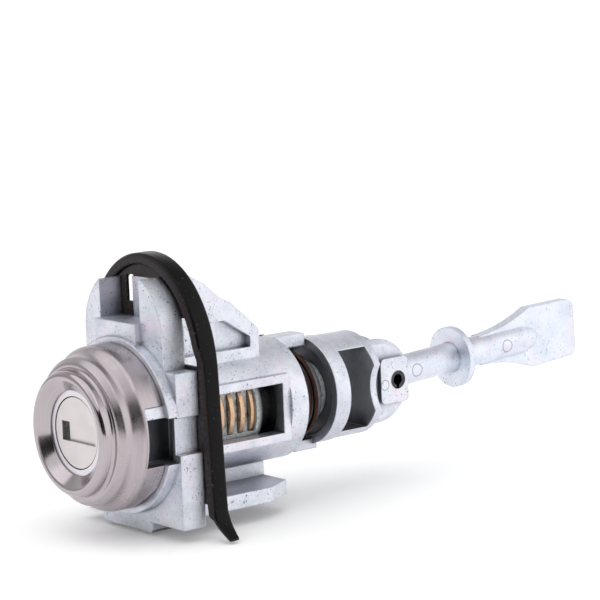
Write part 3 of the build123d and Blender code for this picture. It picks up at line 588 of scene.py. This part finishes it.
def plain_metal(name, colour, darkness, roughness, mottle, relief_depth):
    """Rolled or drawn metal with a fine mottle: its colour darkens by a share in spots of a given size.

    The eye gets the metal's own colour with a soft gloss, duller in the spots, and near black painted shade
    in corners.
    """
    sizes = bpy.context.scene.lock_sizes
    material, tree, place = new_material(name)
    rounded = add_node(tree, "ShaderNodeBevel", {"Radius": 0.4 * sizes.edge_radius * MM}, samples=4)
    spotted = patches(tree, place, mottle, (0.4, 0.7), (0.0, darkness), 5.0)
    # Painted shade: near black in corners
    deep = sheltered(tree, 0.4 * sizes.corner_reach, (0.1, 0.55), (0.85, 0.0), 6)
    spot_colour = [channel / 4 for channel in colour]
    corner_shade_colour = [channel / 30 for channel in colour]
    toned_and_shaded = layered(tree, colour, [(spotted, spot_colour), (deep, corner_shade_colour)])
    dull = add_node(
        tree,
        "ShaderNodeMapRange",
        {"Value": spotted, "To Min": roughness - 0.04, "To Max": roughness + 0.2},
    )
    relief = add_node(
        tree,
        "ShaderNodeBump",
        {"Strength": relief_depth, "Distance": 0.03 * MM, "Height": spotted, "Normal": rounded},
    )
    close_material(tree, {"Base Color": toned_and_shaded, "Metallic": 1.0, "Roughness": dull, "Normal": relief})
    return material


def moulded_rubber(name):
    """EPDM rubber, compression moulded: a brownish black with a waxy skin.

    The eye gets a soft gloss on round edges, a painted light on the flat faces towards the cap, which
    are painted a paler brown as if lit, and small pale specks of dust.
    """
    sizes = bpy.context.scene.lock_sizes
    colours = bpy.context.scene.lock_colours
    material, tree, place = new_material(name)
    specks = patches(tree, place, sizes.dust_speck, (0.68, 0.73), (0.0, 0.8), 4.0)
    # Painted light: faces that look towards -Y, at the cap, are painted paler brown as if lit
    facing = add_node(tree, "ShaderNodeNewGeometry").outputs["Normal"]
    front = add_node(tree, "ShaderNodeSeparateXYZ", {"Vector": facing}).outputs["Y"]
    lit_front_share = add_node(
        tree,
        "ShaderNodeMapRange",
        {"Value": front, "From Min": -0.6, "From Max": -0.95, "To Min": 0.0, "To Max": 0.75},
    )
    skin = layered(tree, colours.rubber, [(lit_front_share, colours.bloom), (specks, colours.dust)])
    waxy = patches(tree, place, sizes.wax, (0.3, 0.7), (0.2, 0.34))
    relief = add_node(tree, "ShaderNodeBump", {"Strength": 0.2, "Distance": 0.05 * MM, "Height": waxy})
    close_material(
        tree, {"Base Color": skin, "Roughness": waxy, "Specular IOR Level": 0.14, "Normal": relief}
    )
    return material


def dress(nodes, material):
    """Give CAD nodes a material in every slot."""
    for name in nodes:
        slots = frame["nodes"][name].data.materials
        for index in range(len(slots)):
            slots[index] = material
        if not len(slots):
            slots.append(material)


def grid_faces(rows, columns, wrap_rows=False, wrap_columns=False):
    """Quads between neighbours on a grid of rows by columns, closed round each way where asked."""
    row, column = np.meshgrid(
        np.arange(rows if wrap_rows else rows - 1),
        np.arange(columns if wrap_columns else columns - 1),
        indexing="ij",
    )
    next_row = (row + 1) % rows
    next_column = (column + 1) % columns
    corners = (
        row * columns + column,
        next_row * columns + column,
        next_row * columns + next_column,
        row * columns + next_column,
    )
    return np.stack(corners, axis=-1).reshape(-1, 4).tolist()


def tube(rings):
    """Points and faces of a closed tube, from its rings of as many points each.

    Quads join neighbouring rings, and at both ends a fan of triangles closes the ring about its middle.
    """
    count, sides = rings.shape[:2]
    around = np.arange(sides)
    after = (around + 1) % sides
    last = (count - 1) * sides
    first_middle = np.full(sides, count * sides)
    faces = [
        *grid_faces(count, sides, wrap_columns=True),
        *np.stack([around, after, first_middle], axis=-1).tolist(),
        *np.stack([last + after, last + around, first_middle + 1], axis=-1).tolist(),
    ]
    return np.concatenate([rings.reshape(-1, 3), rings[[0, -1]].mean(axis=1)]), faces


def place_piece(name, points, faces, body, material, replaced):
    """Make a smooth piece from points in millimetres, on its CAD body and in place of a CAD node.

    Points that meet are joined, and the faces are turned outwards.
    """
    mesh = bpy.data.meshes.new(name)
    mesh.from_pydata((points * MM).tolist(), [], faces)
    shape = bmesh.new()
    shape.from_mesh(mesh)
    bmesh.ops.remove_doubles(shape, verts=shape.verts, dist=0.0005 * MM)
    bmesh.ops.recalc_face_normals(shape, faces=shape.faces)
    shape.to_mesh(mesh)
    shape.free()
    mesh.polygons.foreach_set("use_smooth", np.ones(len(mesh.polygons), bool))
    mesh.set_sharp_from_angle(angle=np.radians(40))
    mesh.materials.append(material)
    piece = bpy.data.objects.new(name, mesh)
    bpy.context.scene.collection.objects.link(piece)
    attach(piece, body)
    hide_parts(replaced)


def rounded_section(corners, radii, steps):
    """Closed outline with its corners rounded.

    Each corner gives way to the part of a circle that touches both of its sides: the circle's centre lies
    on the corner's bisector, and the touching points are its radius over the tangent of half the corner
    away. A corner with no radius stays one point.
    """
    corners = np.asarray(corners, float)
    outline = []
    for before, corner, after, radius in zip(
        np.roll(corners, 1, axis=0), corners, np.roll(corners, -1, axis=0), radii
    ):
        if radius == 0:
            outline.append(corner[None])
            continue
        back = (before - corner) / np.linalg.norm(before - corner)
        ahead = (after - corner) / np.linalg.norm(after - corner)
        half = np.arccos(np.clip(back @ ahead, -1, 1)) / 2
        middle = (back + ahead) / np.linalg.norm(back + ahead)
        centre = corner + middle * radius / np.sin(half)
        start = corner + back * radius / np.tan(half) - centre
        end = corner + ahead * radius / np.tan(half) - centre
        sweep = np.pi - 2 * half
        share = np.linspace(0, 1, steps)[:, None]
        outline.append(
            centre + (start * np.sin((1 - share) * sweep) + end * np.sin(share * sweep)) / np.sin(sweep)
        )
    return np.concatenate(outline)


def round_wire(line, radius, sides, side_hint):
    """Round wire along a centre line, closed at both ends.

    At each point of the line a circle lies square to the line's direction. Its first spoke is the part of
    a fixed hint direction that is square to the line, and the second is square to both.
    """
    direction = np.gradient(line, axis=0)
    direction /= np.linalg.norm(direction, axis=1, keepdims=True)
    spoke = side_hint - (direction @ side_hint)[:, None] * direction
    spoke /= np.linalg.norm(spoke, axis=1, keepdims=True)
    other = np.cross(direction, spoke)
    angle = np.linspace(0, 2 * np.pi, sides, endpoint=False)
    return tube(
        line[:, None]
        + radius * np.cos(angle)[None, :, None] * spoke[:, None]
        + radius * np.sin(angle)[None, :, None] * other[:, None]
    )


def smooth_line(line, spacing, window):
    """Centre line with its corners bent round.

    The line is read at even steps and each point becomes the average of its neighbours within a window,
    weighted by a bell curve out to twice its width. The ends are carried on straight first, so they stay
    where they are.
    """
    steps = np.linalg.norm(np.diff(line, axis=0), axis=1)
    reach = np.concatenate([[0], np.cumsum(steps)])
    even = np.linspace(0, reach[-1], int(reach[-1] / spacing) + 1)
    points = np.stack([np.interp(even, reach, line[:, axis]) for axis in range(3)], axis=1)
    half = int(window / spacing)
    bell = np.exp(-0.5 * (np.linspace(-2, 2, 2 * half + 1)) ** 2)
    bell /= bell.sum()
    steps_out = np.arange(1, half + 1)[:, None]
    lead = points[0] - steps_out[::-1] * (points[1] - points[0])
    tail = points[-1] + steps_out * (points[-1] - points[-2])
    longer = np.concatenate([lead, points, tail])
    return np.stack([np.convolve(longer[:, axis], bell, "valid") for axis in range(3)], axis=1)


class LOCK_OT_castings(bpy.types.Operator):
    """Give the housing and the yoke the plated finish of their zinc castings, and the plug its raw zinc"""

    bl_idname = "lock_cylinder.castings"
    bl_label = "Finish the zinc castings"

    def execute(self, context):
        colours = context.scene.lock_colours
        sizes = context.scene.lock_sizes
        # The side port is painted dark as shade, in a box round its floor
        below_floor, above_floor, port_shade = 0.6, 0.3, 0.9
        port = (
            (sizes.port_floor - below_floor, -sizes.notch_depth, sizes.port_bottom),
            (sizes.port_floor + above_floor, sizes.port_rear, sizes.port_top),
            port_shade,
        )
        plated = cast_zinc(
            "blue_passivated_zinc_casting",
            colours.zinc,
            colours.zinc_shade,
            pit_share=0.9,
            relief_depth=0.4,
            hollow=port,
        )
        dress(["housing"], plated)
        pin_end = box_mm("roll_pin")[1][0]
        before_pin, below_pin, ring_radius, ring_line = 3.1, 0.6, 0.9, 0.12
        ring_centre = (pin_end, middle_mm("roll_pin")[1] - before_pin, -below_pin)
        # A wider reach and a larger open share paint more shade into the yoke's cage
        marked = cast_zinc(
            "blue_passivated_yoke_casting",
            colours.zinc,
            colours.zinc_shade,
            pit_share=0.6,
            relief_depth=0.4,
            circles=[(ring_centre, ring_radius, ring_line)],
            reach_share=1.7,
            open_from=0.85,
        )
        dress(["yoke"], marked)
        dress(["plug"], raw_zinc("raw_zinc_casting", colours.raw_zinc, colours.raw_shade))
        return {"FINISHED"}


class LOCK_OT_connecting_rod(bpy.types.Operator):
    """Give the connecting rod its whiter casting finish, with the rings that ejector pins left in it"""

    bl_idname = "lock_cylinder.connecting_rod"
    bl_label = "Finish the connecting rod"

    def execute(self, context):
        colours = context.scene.lock_colours
        pin_middle = middle_mm("roll_pin")[1]
        tilt = np.radians(3.4)
        from_pin = (6.9, 29.4)
        shaft_radius, ring_radius, ring_line = 2.75, 1.15, 0.14
        centres = [
            (shaft_radius, pin_middle + reach * np.cos(tilt), reach * np.sin(tilt)) for reach in from_pin
        ]
        material = cast_zinc(
            "bright_tumbled_zinc_casting",
            colours.rod_zinc,
            colours.rod_shade,
            pit_share=0.5,
            relief_depth=0.3,
            circles=[(centre, ring_radius, ring_line) for centre in centres],
        )
        dress(["connecting_rod"], material)
        return {"FINISHED"}


class LOCK_OT_face_cap(bpy.types.Operator):
    """Make the stamped face cap with its round bead, and the satin ring in its mouth"""

    bl_idname = "lock_cylinder.face_cap"
    bl_label = "Make the face cap"

    def execute(self, context):
        colours = context.scene.lock_colours
        points, faces, saddle_floor = self.shell(context.scene.lock_sizes)
        sheet = satin_sheet(
            "satin_stainless_sheet",
            colours.stainless,
            colours.stainless_line,
            roughness=0.28,
            line_depth=0.12,
            polished_from=saddle_floor,
        )
        place_piece("cap_shell", points, faces, "case", sheet, "face_cap")
        ring = satin_sheet("satin_mouth_ring", colours.ring, colours.satin, roughness=0.4, line_depth=0.1)
        dress(["mouth_ring"], ring)
        return {"FINISHED"}

    def shell(self, sizes):
        """Closed profile of the cap's sheet, turned about the lock axis, and where its saddle lies.

        The profile's first measure is the distance from the axis, and the second runs along it. The rear
        half of the skirt moves forward by the notch's depth within half the notch's angle, and under the
        lock by what the scallop's circle cuts off: its radius less its depth, less half its chord there.
        """
        low, high = box_mm("face_cap")
        ring_low, ring_high = box_mm("mouth_ring")
        cap_radius = high[2]
        bead_front = low[1]
        sheet = sizes.cap_sheet
        skirt_front = -sizes.skirt_length
        step = sizes.cap_step
        saddle = sizes.cap_saddle
        ring_gap = 0.05
        mouth_radius = ring_high[0] - sheet
        mouth_rear = ring_low[1] - ring_gap
        bead_radius = mouth_radius + sizes.bead_width
        crest_radius = bead_radius - sizes.crest_width
        band_radius = cap_radius - step
        band_front = skirt_front - step - sizes.cap_band
        saddle_floor = band_front - saddle
        bend = sheet * np.tan(np.radians(22.5))
        rim_round = 0.12
        inner = sizes.inner_round
        profile = [
            ((cap_radius, 0), rim_round),
            ((cap_radius, skirt_front), sizes.skirt_round),
            ((band_radius, skirt_front - step), sizes.skirt_round),
            ((band_radius, band_front), sizes.band_round),
            ((band_radius - saddle, saddle_floor), sizes.band_round),
            ((bead_radius, saddle_floor), sizes.band_round / 2),
            ((bead_radius, bead_front), sizes.bead_round),
            ((crest_radius, bead_front), sizes.mouth_round),
            ((mouth_radius, mouth_rear - sizes.mouth_lip), rim_round),
            ((mouth_radius, mouth_rear), rim_round),
            ((mouth_radius + 1.3 * sheet, mouth_rear), rim_round),
            ((crest_radius + sheet / 3, bead_front + sheet), inner),
            ((bead_radius - sheet, bead_front + sheet), inner),
            ((bead_radius - sheet, saddle_floor + sheet), inner),
            ((band_radius - saddle - bend, saddle_floor + sheet), inner),
            ((band_radius - sheet, band_front + bend), inner),
            ((band_radius - sheet, skirt_front - step + bend), inner),
            ((cap_radius - sheet, skirt_front + bend), inner),
            ((cap_radius - sheet, 0), rim_round),
        ]
        corners, radii = zip(*profile)
        section = rounded_section(corners, radii, steps=9)
        half_notch = np.arcsin(sizes.notch_height / 2 / cap_radius)
        # Each side of the notch has two angles, a hair apart, so that its wall stands square
        hair = 1e-4
        notch_sides = half_notch * np.array([-1, -1, 1, 1]) + hair * np.array([-1, 0, 0, 1])
        turn = np.linspace(-np.pi, np.pi, sizes.turns_round, endpoint=False)
        angle = np.sort(np.concatenate([turn, notch_sides]))
        forward = np.where(np.abs(angle) <= half_notch, -sizes.notch_depth, 0.0)
        scallop_middle = cap_radius / 2
        off_middle = cap_radius * np.cos(angle) - scallop_middle
        chord = np.sqrt(np.clip(sizes.scallop_radius**2 - off_middle**2, 0, None))
        scallop = sizes.scallop_radius - sizes.scallop_depth - chord
        under = (np.sin(angle) < 0) & (scallop < 0)
        forward = np.where(under, np.minimum(forward, scallop), forward)[:, None]
        rear = section[:, 1] > skirt_front / 2
        points = np.stack(
            [
                section[:, 0] * np.cos(angle)[:, None],
                section[:, 1] + np.where(rear, forward, 0),
                section[:, 0] * np.sin(angle)[:, None],
            ],
            axis=-1,
        )
        faces = grid_faces(len(angle), len(section), wrap_rows=True, wrap_columns=True)
        return points.reshape(-1, 3), faces, saddle_floor


class LOCK_OT_gasket(bpy.types.Operator):
    """Mould the gasket's round band with its curled lips and the thin web inside it, and finish the seal"""

    bl_idname = "lock_cylinder.gasket"
    bl_label = "Mould the gasket"

    def execute(self, context):
        sizes = context.scene.lock_sizes
        low, high = box_mm("gasket")
        rubber = moulded_rubber("moulded_epdm_rubber")
        points, faces = self.band(sizes, low, high)
        place_piece("gasket_band", points, faces, "case", rubber, "gasket")
        points, faces = self.web(sizes, low, high)
        place_piece("gasket_web", points, faces, "case", rubber, "gasket")
        dress(["plug_seal"], rubber)
        return {"FINISHED"}

    def band(self, sizes, low, high):
        """Band and lips: a rounded rectangle carried along the arch.

        The path goes up the right lip and leg, over half an ellipse and down the left side. The section's
        first measure is the distance inwards, square to the path, and the second runs along the axis.
        Towards a lip's tip the section gets thinner and shallower, and over the arch the band stands out
        in front of the flange by a small rise.
        """
        arch_steps, spacing = 91, 0.35
        rise_start, rise_length = 2, 3
        lip_root, tip_share = 0.7, 0.7
        angle = np.linspace(0, np.pi, arch_steps)
        over = np.stack(
            [
                sizes.gasket_half_width * np.cos(angle),
                sizes.gasket_waist + (high[2] - sizes.gasket_waist) * np.sin(angle),
            ],
            axis=1,
        )
        foot = sizes.gasket_leg_half_width
        side = np.array([(high[0], low[2] + sizes.lip_sheet), (foot, low[2] + sizes.lip_drop)])
        line = np.concatenate([side, over, side[::-1] * (-1, 1)])
        line = np.stack([line[:, 0], np.zeros(len(line)), line[:, 1]], axis=1)
        line = smooth_line(line, spacing, sizes.lip_bend)[:, ::2]
        direction = np.gradient(line, axis=0)
        direction /= np.linalg.norm(direction, axis=1, keepdims=True)
        inward = np.stack([-direction[:, 1], direction[:, 0]], axis=1)
        walked = np.concatenate([[0], np.cumsum(np.linalg.norm(np.diff(line, axis=0), axis=1))])
        to_tip = np.minimum(walked, walked[-1] - walked)
        lip_share = sizes.lip_sheet / sizes.gasket_band
        thick = np.interp(
            to_tip,
            [0, sizes.lip_length, sizes.lip_length + lip_root],
            [tip_share * lip_share, lip_share, 1],
        )
        shallow = np.interp(to_tip, [0, 1.1 * sizes.lip_length], [1 - sizes.lip_taper, 1])
        over_waist = line[:, 1] - sizes.gasket_waist
        rise = sizes.arch_rise * np.clip((over_waist - rise_start) / rise_length, 0, 1)
        depth = high[1] - low[1]
        corners = [(0, 0), (0, depth), (sizes.gasket_band, depth), (sizes.gasket_band, 0)]
        section = rounded_section(corners, [sizes.rubber_radius] * 4, steps=6)
        inset = thick[:, None] * section[None, :, 0]
        flat = line[:, None] + inset[..., None] * inward[:, None]
        along = high[1] - (depth - section[None, :, 1]) * (shallow + rise / depth)[:, None]
        along = along - (1 - shallow[:, None]) * depth / 2
        return tube(np.stack([flat[..., 0], along, flat[..., 1]], axis=-1))

    def web(self, sizes, low, high):
        """Thin web with its slit and windows: the CAD gasket cut off above its lips and pressed flat.

        Points behind the web come forward to its rear face. The outer edge shrinks towards the middle by
        a small share, so that it ends inside the band, and the slit's sides move apart to its width.
        """
        merged, behind_front = 0.002, 0.1
        edge_from, shrunk = 0.98, 0.95
        slit_zone = 9
        shape = bmesh.new()
        shape.from_mesh(frame["nodes"]["gasket"].data)
        bmesh.ops.remove_doubles(shape, verts=shape.verts, dist=merged * MM)
        cut = bmesh.ops.bisect_plane(
            shape,
            geom=[*shape.verts, *shape.edges, *shape.faces],
            plane_co=(0, 0, sizes.web_foot * MM),
            plane_no=(0, 0, 1),
            clear_inner=True,
        )
        rim = [part for part in cut["geom_cut"] if isinstance(part, bmesh.types.BMEdge)]
        bmesh.ops.holes_fill(shape, edges=rim, sides=0)
        bmesh.ops.triangulate(shape, faces=shape.faces)
        mesh = bpy.data.meshes.new("gasket_web")
        shape.to_mesh(mesh)
        shape.free()
        flat = np.empty(3 * len(mesh.vertices))
        mesh.vertices.foreach_get("co", flat)
        across, along, upright = (flat.reshape(-1, 3) / MM).T
        above = np.maximum(upright - sizes.gasket_waist, 0) / (high[2] - sizes.gasket_waist)
        spread = (sizes.gasket_leg_half_width - sizes.gasket_half_width) / (
            sizes.gasket_waist - low[2] - sizes.lip_drop
        )
        half_width = sizes.gasket_half_width + spread * np.maximum(sizes.gasket_waist - upright, 0)
        edge = np.hypot(across / half_width, above) > edge_from
        shrink = np.where(edge, shrunk, 1.0)
        upright = np.where(above > 0, sizes.gasket_waist + (upright - sizes.gasket_waist) * shrink, upright)
        along = np.clip(along, low[1] + behind_front, low[1] + sizes.web_sheet)
        off = across - sizes.slit_shift
        in_slit = (np.abs(off) < sizes.slit_width) & (upright > high[2] - slit_zone)
        across = np.where(in_slit, sizes.slit_shift + sizes.slit_width / 2 * np.sign(off), across)
        indices = np.empty(3 * len(mesh.polygons), int)
        mesh.polygons.foreach_get("vertices", indices)
        bpy.data.meshes.remove(mesh)
        return np.stack([across * shrink, along, upright], axis=1), indices.reshape(-1, 3).tolist()


class LOCK_OT_return_spring(bpy.types.Operator):
    """Wind the return spring in round wire, with a leg on the lug and a leg on the peg"""

    bl_idname = "lock_cylinder.return_spring"
    bl_label = "Wind the return spring"

    def execute(self, context):
        sizes = context.scene.lock_sizes
        line = self.centre_line(sizes)
        wire_radius = sizes.spring_wire / 2
        points, faces = round_wire(line, wire_radius, sides=16, side_hint=np.array([0.0, 1.0, 0.0]))
        # Hard drawn steel wire, flashed with copper that has gone brown: dark, with a warm dull gloss
        wire = plain_metal(
            "copper_flashed_spring_wire",
            context.scene.lock_colours.spring,
            darkness=0.6,
            roughness=0.36,
            mottle=0.7,
            relief_depth=0.3,
        )
        place_piece("return_spring_wire", points, faces, "case", wire, "return_spring")
        return {"FINISHED"}

    def centre_line(self, sizes):
        """Helix round the lock axis between two straight upright legs, with its corners bent round.

        The angle falls evenly by the full turns and the way between the legs, and each turn moves the wire
        back by the pitch. Each leg stands on the circle's point that is as far to the side as the leg.
        """
        low, high = box_mm("return_spring")
        sleeve_low, _ = box_mm("spring_sleeve")
        full_turns, steps, spacing = 2, 400, 0.12
        radius = sizes.spring_radius
        top_leg, bottom_leg = -sizes.top_leg, -sizes.bottom_leg
        start = np.arctan2(np.sqrt(radius**2 - top_leg**2), top_leg)
        end = np.arctan2(-np.sqrt(radius**2 - bottom_leg**2), bottom_leg)
        turn = np.linspace(0, start - end + 2 * np.pi * full_turns, steps)
        reach = sleeve_low[1] + sizes.spring_wire / 2 + sizes.spring_pitch * turn / (2 * np.pi)
        coil = np.stack([radius * np.cos(start - turn), reach, radius * np.sin(start - turn)], axis=1)
        top = (top_leg, reach[0], high[2])
        bottom = (bottom_leg, reach[-1], low[2])
        return smooth_line(np.concatenate([[top], coil, [bottom]]), spacing, sizes.spring_bend)


class LOCK_OT_small_springs(bpy.types.Operator):
    """Wind the shutter's spring and the wafers' springs in round wire"""

    bl_idname = "lock_cylinder.small_springs"
    bl_label = "Wind the small springs"

    def execute(self, context):
        # Hard drawn spring steel: a bright grey wire
        steel = plain_metal(
            "drawn_spring_steel",
            context.scene.lock_colours.spring_steel,
            darkness=0.3,
            roughness=0.25,
            mottle=0.5,
            relief_depth=0.1,
        )
        for name in ["shutter_spring"] + [name.replace("wafer_", "wafer_spring_") for name in WAFERS]:
            points, faces = self.coil(name, context.scene.lock_sizes.small_wire)
            place_piece(name + "_wire", points, faces, "plug", steel, name)
        return {"FINISHED"}

    def coil(self, name, wire):
        """Helix of three turns along X that fills the box of its CAD node."""
        turns, steps_a_turn, sides = 3, 24, 8
        low, high = box_mm(name)
        _, ahead, upright = middle_mm(name)
        radius = (high[1] - low[1] - wire) / 2
        turn = np.linspace(0, 2 * np.pi * turns, steps_a_turn * turns + 1)
        along = np.interp(turn, [0, turn[-1]], [low[0] + wire / 2, high[0] - wire / 2])
        line = np.stack([along, ahead + radius * np.sin(turn), upright + radius * np.cos(turn)], axis=1)
        return round_wire(line, wire / 2, sides, side_hint=np.array([1.0, 0.0, 0.0]))


class LOCK_OT_small_parts(bpy.types.Operator):
    """Finish the wafers in brass, the roll pin in black steel and the steel parts in satin"""

    bl_idname = "lock_cylinder.small_parts"
    bl_label = "Finish the small parts"

    def execute(self, context):
        colours = context.scene.lock_colours
        disc = satin_sheet("satin_face_disc", colours.disc, colours.satin, roughness=0.36, line_depth=0.1)
        dress(["face_disc", "shutter"], disc)
        # Nodes, then the finish: its name, colour, darkness, roughness, mottle and relief depth
        finishes = (
            # Stamped cartridge brass: a warm yellow, duller where grease has been
            (WAFERS, "stamped_cartridge_brass", colours.brass, 0.35, 0.28, 0.9, 0.15),
            # Drawn steel, ground satin: a pale grey with a soft gloss
            (["shutter_pin"], "satin_steel", colours.satin, 0.35, 0.34, 1.4, 0.15),
            # Turned steel: a grey painted darker as the shade of the yoke, with a soft gloss
            (["spring_sleeve", "yoke_clip"], "turned_steel", colours.dark_steel, 0.35, 0.3, 1.4, 0.15),
            # Rolled steel with a skin of black oxide: a dark grey with a dull gloss
            (["roll_pin"], "black_oxide_steel", colours.black_steel, 0.5, 0.38, 0.8, 0.2),
        )
        for nodes, *finish in finishes:
            dress(nodes, plain_metal(*finish))
        return {"FINISHED"}


class LOCK_OT_stage(bpy.types.Operator):
    """Set up the pale floor, the soft lights, the white background and the camera"""

    bl_idname = "lock_cylinder.stage"
    bl_label = "Set up the studio"

    def execute(self, context):
        scene = context.scene
        view = scene.lock_view
        floor_gap = 0.05
        self.make_floor(scene, CAD_BOUNDS[0][2] - floor_gap * MM)
        azimuth, elevation, roll = np.radians([view.azimuth, view.elevation, view.roll])
        right = np.array([np.cos(azimuth), np.sin(azimuth), 0])
        ahead = np.array(
            [
                -np.sin(azimuth) * np.cos(elevation),
                np.cos(azimuth) * np.cos(elevation),
                -np.sin(elevation),
            ]
        )
        up = np.cross(right, ahead)
        shoulder = 0.45 * up - 0.82 * ahead - 0.35 * right
        openings = [
            # At the camera, at the left, overhead, and over the camera's left shoulder
            (-ahead, 0.9, 0.68, 0.04),
            (-right, 0.95, 0.2, 0.55),
            (up, 0.95, 0.45, 0.3),
            (shoulder / np.linalg.norm(shoulder), 0.93, 0.8, 0.1),
        ]
        self.make_world(scene, view.ambient, openings)
        target = np.array(view.target) * MM
        self.make_camera(scene, view, target, right, ahead, up, roll)
        self.make_lamp("key_light", -0.35 * right + up - 0.4 * ahead, view.key_light, view.softness)
        self.make_lamp("fill_light", right + 0.5 * up - 0.2 * ahead, view.fill_light, view.softness)
        scene.view_settings.view_transform = "Standard"
        return {"FINISHED"}

    def make_floor(self, scene, height):
        """Large flat disc under the lock: points on a circle about its centre.

        What the camera or a mirror sees also glows faintly, which brings the floor to the backdrop's white.
        """
        reach, steps, glow_share = 4.0, 64, 0.16
        angle = np.linspace(0, 2 * np.pi, steps, endpoint=False)
        rim = np.stack([reach * np.cos(angle), reach * np.sin(angle), np.full(steps, height)], axis=1)
        mesh = bpy.data.meshes.new("floor")
        mesh.from_pydata(rim.tolist(), [], [list(range(steps))])
        floor = bpy.data.objects.new("floor", mesh)
        scene.collection.objects.link(floor)
        material, tree, _ = new_material("pale_studio_floor")
        matt = add_node(tree, "ShaderNodeBsdfDiffuse", {"Color": rgba(scene.lock_colours.floor)})
        lift = add_node(
            tree, "ShaderNodeMath", (self.seen_directly(tree), glow_share), operation="MULTIPLY"
        )
        glow = add_node(tree, "ShaderNodeEmission", {"Strength": lift})
        both = add_node(tree, "ShaderNodeAddShader", {"Shader": matt, "Shader_001": glow})
        add_node(tree, "ShaderNodeOutputMaterial", {"Surface": both})
        mesh.materials.append(material)

    def seen_directly(self, tree):
        """One for what the camera sees, also in a mirror or through glass, and nought for plain light."""
        path = add_node(tree, "ShaderNodeLightPath").outputs
        seen = path["Is Camera Ray"]
        for kind in ("Is Glossy Ray", "Is Transmission Ray"):
            seen = add_node(tree, "ShaderNodeMath", (seen, path[kind]), operation="MAXIMUM")
        return seen

    def make_world(self, scene, ambient, openings):
        """White background, and an even light on the lock. Metal mirrors the white, except at openings.

        Each opening of the light tent has a direction, how near to it the mirrored light is least and how
        far from it the light is full, as cosines, and the least share.
        """
        world = bpy.data.worlds.new("white_light_tent")
        scene.world = world
        world.use_nodes = True
        tree = world.node_tree
        tree.nodes.clear()
        direction = add_node(tree, "ShaderNodeTexCoord").outputs["Generated"]
        mirrored = 1.0
        for side, narrow, wide, least in openings:
            near = add_node(
                tree, "ShaderNodeVectorMath", (direction, side.tolist()), operation="DOT_PRODUCT"
            )
            opening = add_node(
                tree,
                "ShaderNodeMapRange",
                {"Value": near, "From Min": wide, "From Max": narrow, "To Min": 1.0, "To Max": least},
                interpolation_type="SMOOTHSTEP",
            )
            mirrored = add_node(tree, "ShaderNodeMath", (mirrored, opening), operation="MULTIPLY")
        glossy = add_node(tree, "ShaderNodeLightPath").outputs["Is Glossy Ray"]
        backdrop = add_node(
            tree,
            "ShaderNodeMix",
            {"Factor_Float": glossy, "A_Float": 1.0, "B_Float": mirrored},
            data_type="FLOAT",
        )
        strength = add_node(
            tree,
            "ShaderNodeMix",
            {"Factor_Float": self.seen_directly(tree), "A_Float": ambient, "B_Float": backdrop},
            data_type="FLOAT",
        )
        light = add_node(tree, "ShaderNodeBackground", {"Color": (1, 1, 1, 1), "Strength": strength})
        add_node(tree, "ShaderNodeOutputWorld", {"Surface": light})

    def make_camera(self, scene, view, target, right, ahead, up, roll):
        """Camera on the view line through the target, turned about that line by its roll."""
        lens = bpy.data.cameras.new("studio_camera")
        lens.sensor_width = 36.0
        lens.lens = view.focal
        lens.clip_start = 0.01
        lens.clip_end = 20.0
        camera = bpy.data.objects.new("studio_camera", lens)
        scene.collection.objects.link(camera)
        level = right * np.cos(roll) + up * np.sin(roll)
        upright = up * np.cos(roll) - right * np.sin(roll)
        place = target - ahead * view.distance * MM
        columns = np.stack([level, upright, -ahead, place], axis=1)
        camera.matrix_world = Matrix([*columns.tolist(), [0, 0, 0, 1]])
        scene.camera = camera

    def make_lamp(self, name, direction, strength, softness):
        """Broad soft light, even all over the stage, that comes from a direction."""
        lamp = bpy.data.lights.new(name, "SUN")
        lamp.energy = strength
        lamp.angle = np.radians(softness)
        holder = bpy.data.objects.new(name, lamp)
        bpy.context.scene.collection.objects.link(holder)
        holder.rotation_euler = Vector(-direction).to_track_quat("-Z", "Y").to_euler()


class LOCK_PT_panel(bpy.types.Panel):
    """Lists the steps and the values of the lock cylinder"""

    bl_idname = "LOCK_PT_panel"
    bl_label = "Lock Cylinder"
    bl_space_type = "VIEW_3D"
    bl_region_type = "UI"
    bl_category = "Lock Cylinder"

    def draw(self, context):
        layout = self.layout
        for operator in OPERATORS:
            layout.operator(operator.bl_idname)
        for group in (context.scene.lock_sizes, context.scene.lock_colours, context.scene.lock_view):
            for name in group.__annotations__:
                layout.prop(group, name)


OPERATORS = (
    LOCK_OT_castings,
    LOCK_OT_connecting_rod,
    LOCK_OT_face_cap,
    LOCK_OT_gasket,
    LOCK_OT_return_spring,
    LOCK_OT_small_springs,
    LOCK_OT_small_parts,
    LOCK_OT_stage,
)
CLASSES = (LockSizes, LockColours, LockView, *OPERATORS, LOCK_PT_panel)


def register():
    for made in CLASSES:
        bpy.utils.register_class(made)
    bpy.types.Scene.lock_sizes = PointerProperty(type=LockSizes)
    bpy.types.Scene.lock_colours = PointerProperty(type=LockColours)
    bpy.types.Scene.lock_view = PointerProperty(type=LockView)


def unregister():
    del bpy.types.Scene.lock_view
    del bpy.types.Scene.lock_colours
    del bpy.types.Scene.lock_sizes
    for made in reversed(CLASSES):
        bpy.utils.unregister_class(made)


def main():
    """Dress the lock piece by piece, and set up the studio."""
    register()
    bpy.ops.lock_cylinder.castings()
    bpy.ops.lock_cylinder.connecting_rod()
    bpy.ops.lock_cylinder.face_cap()
    bpy.ops.lock_cylinder.gasket()
    bpy.ops.lock_cylinder.return_spring()
    bpy.ops.lock_cylinder.small_springs()
    bpy.ops.lock_cylinder.small_parts()
    bpy.ops.lock_cylinder.stage()


if __name__ == "__main__":
    main()
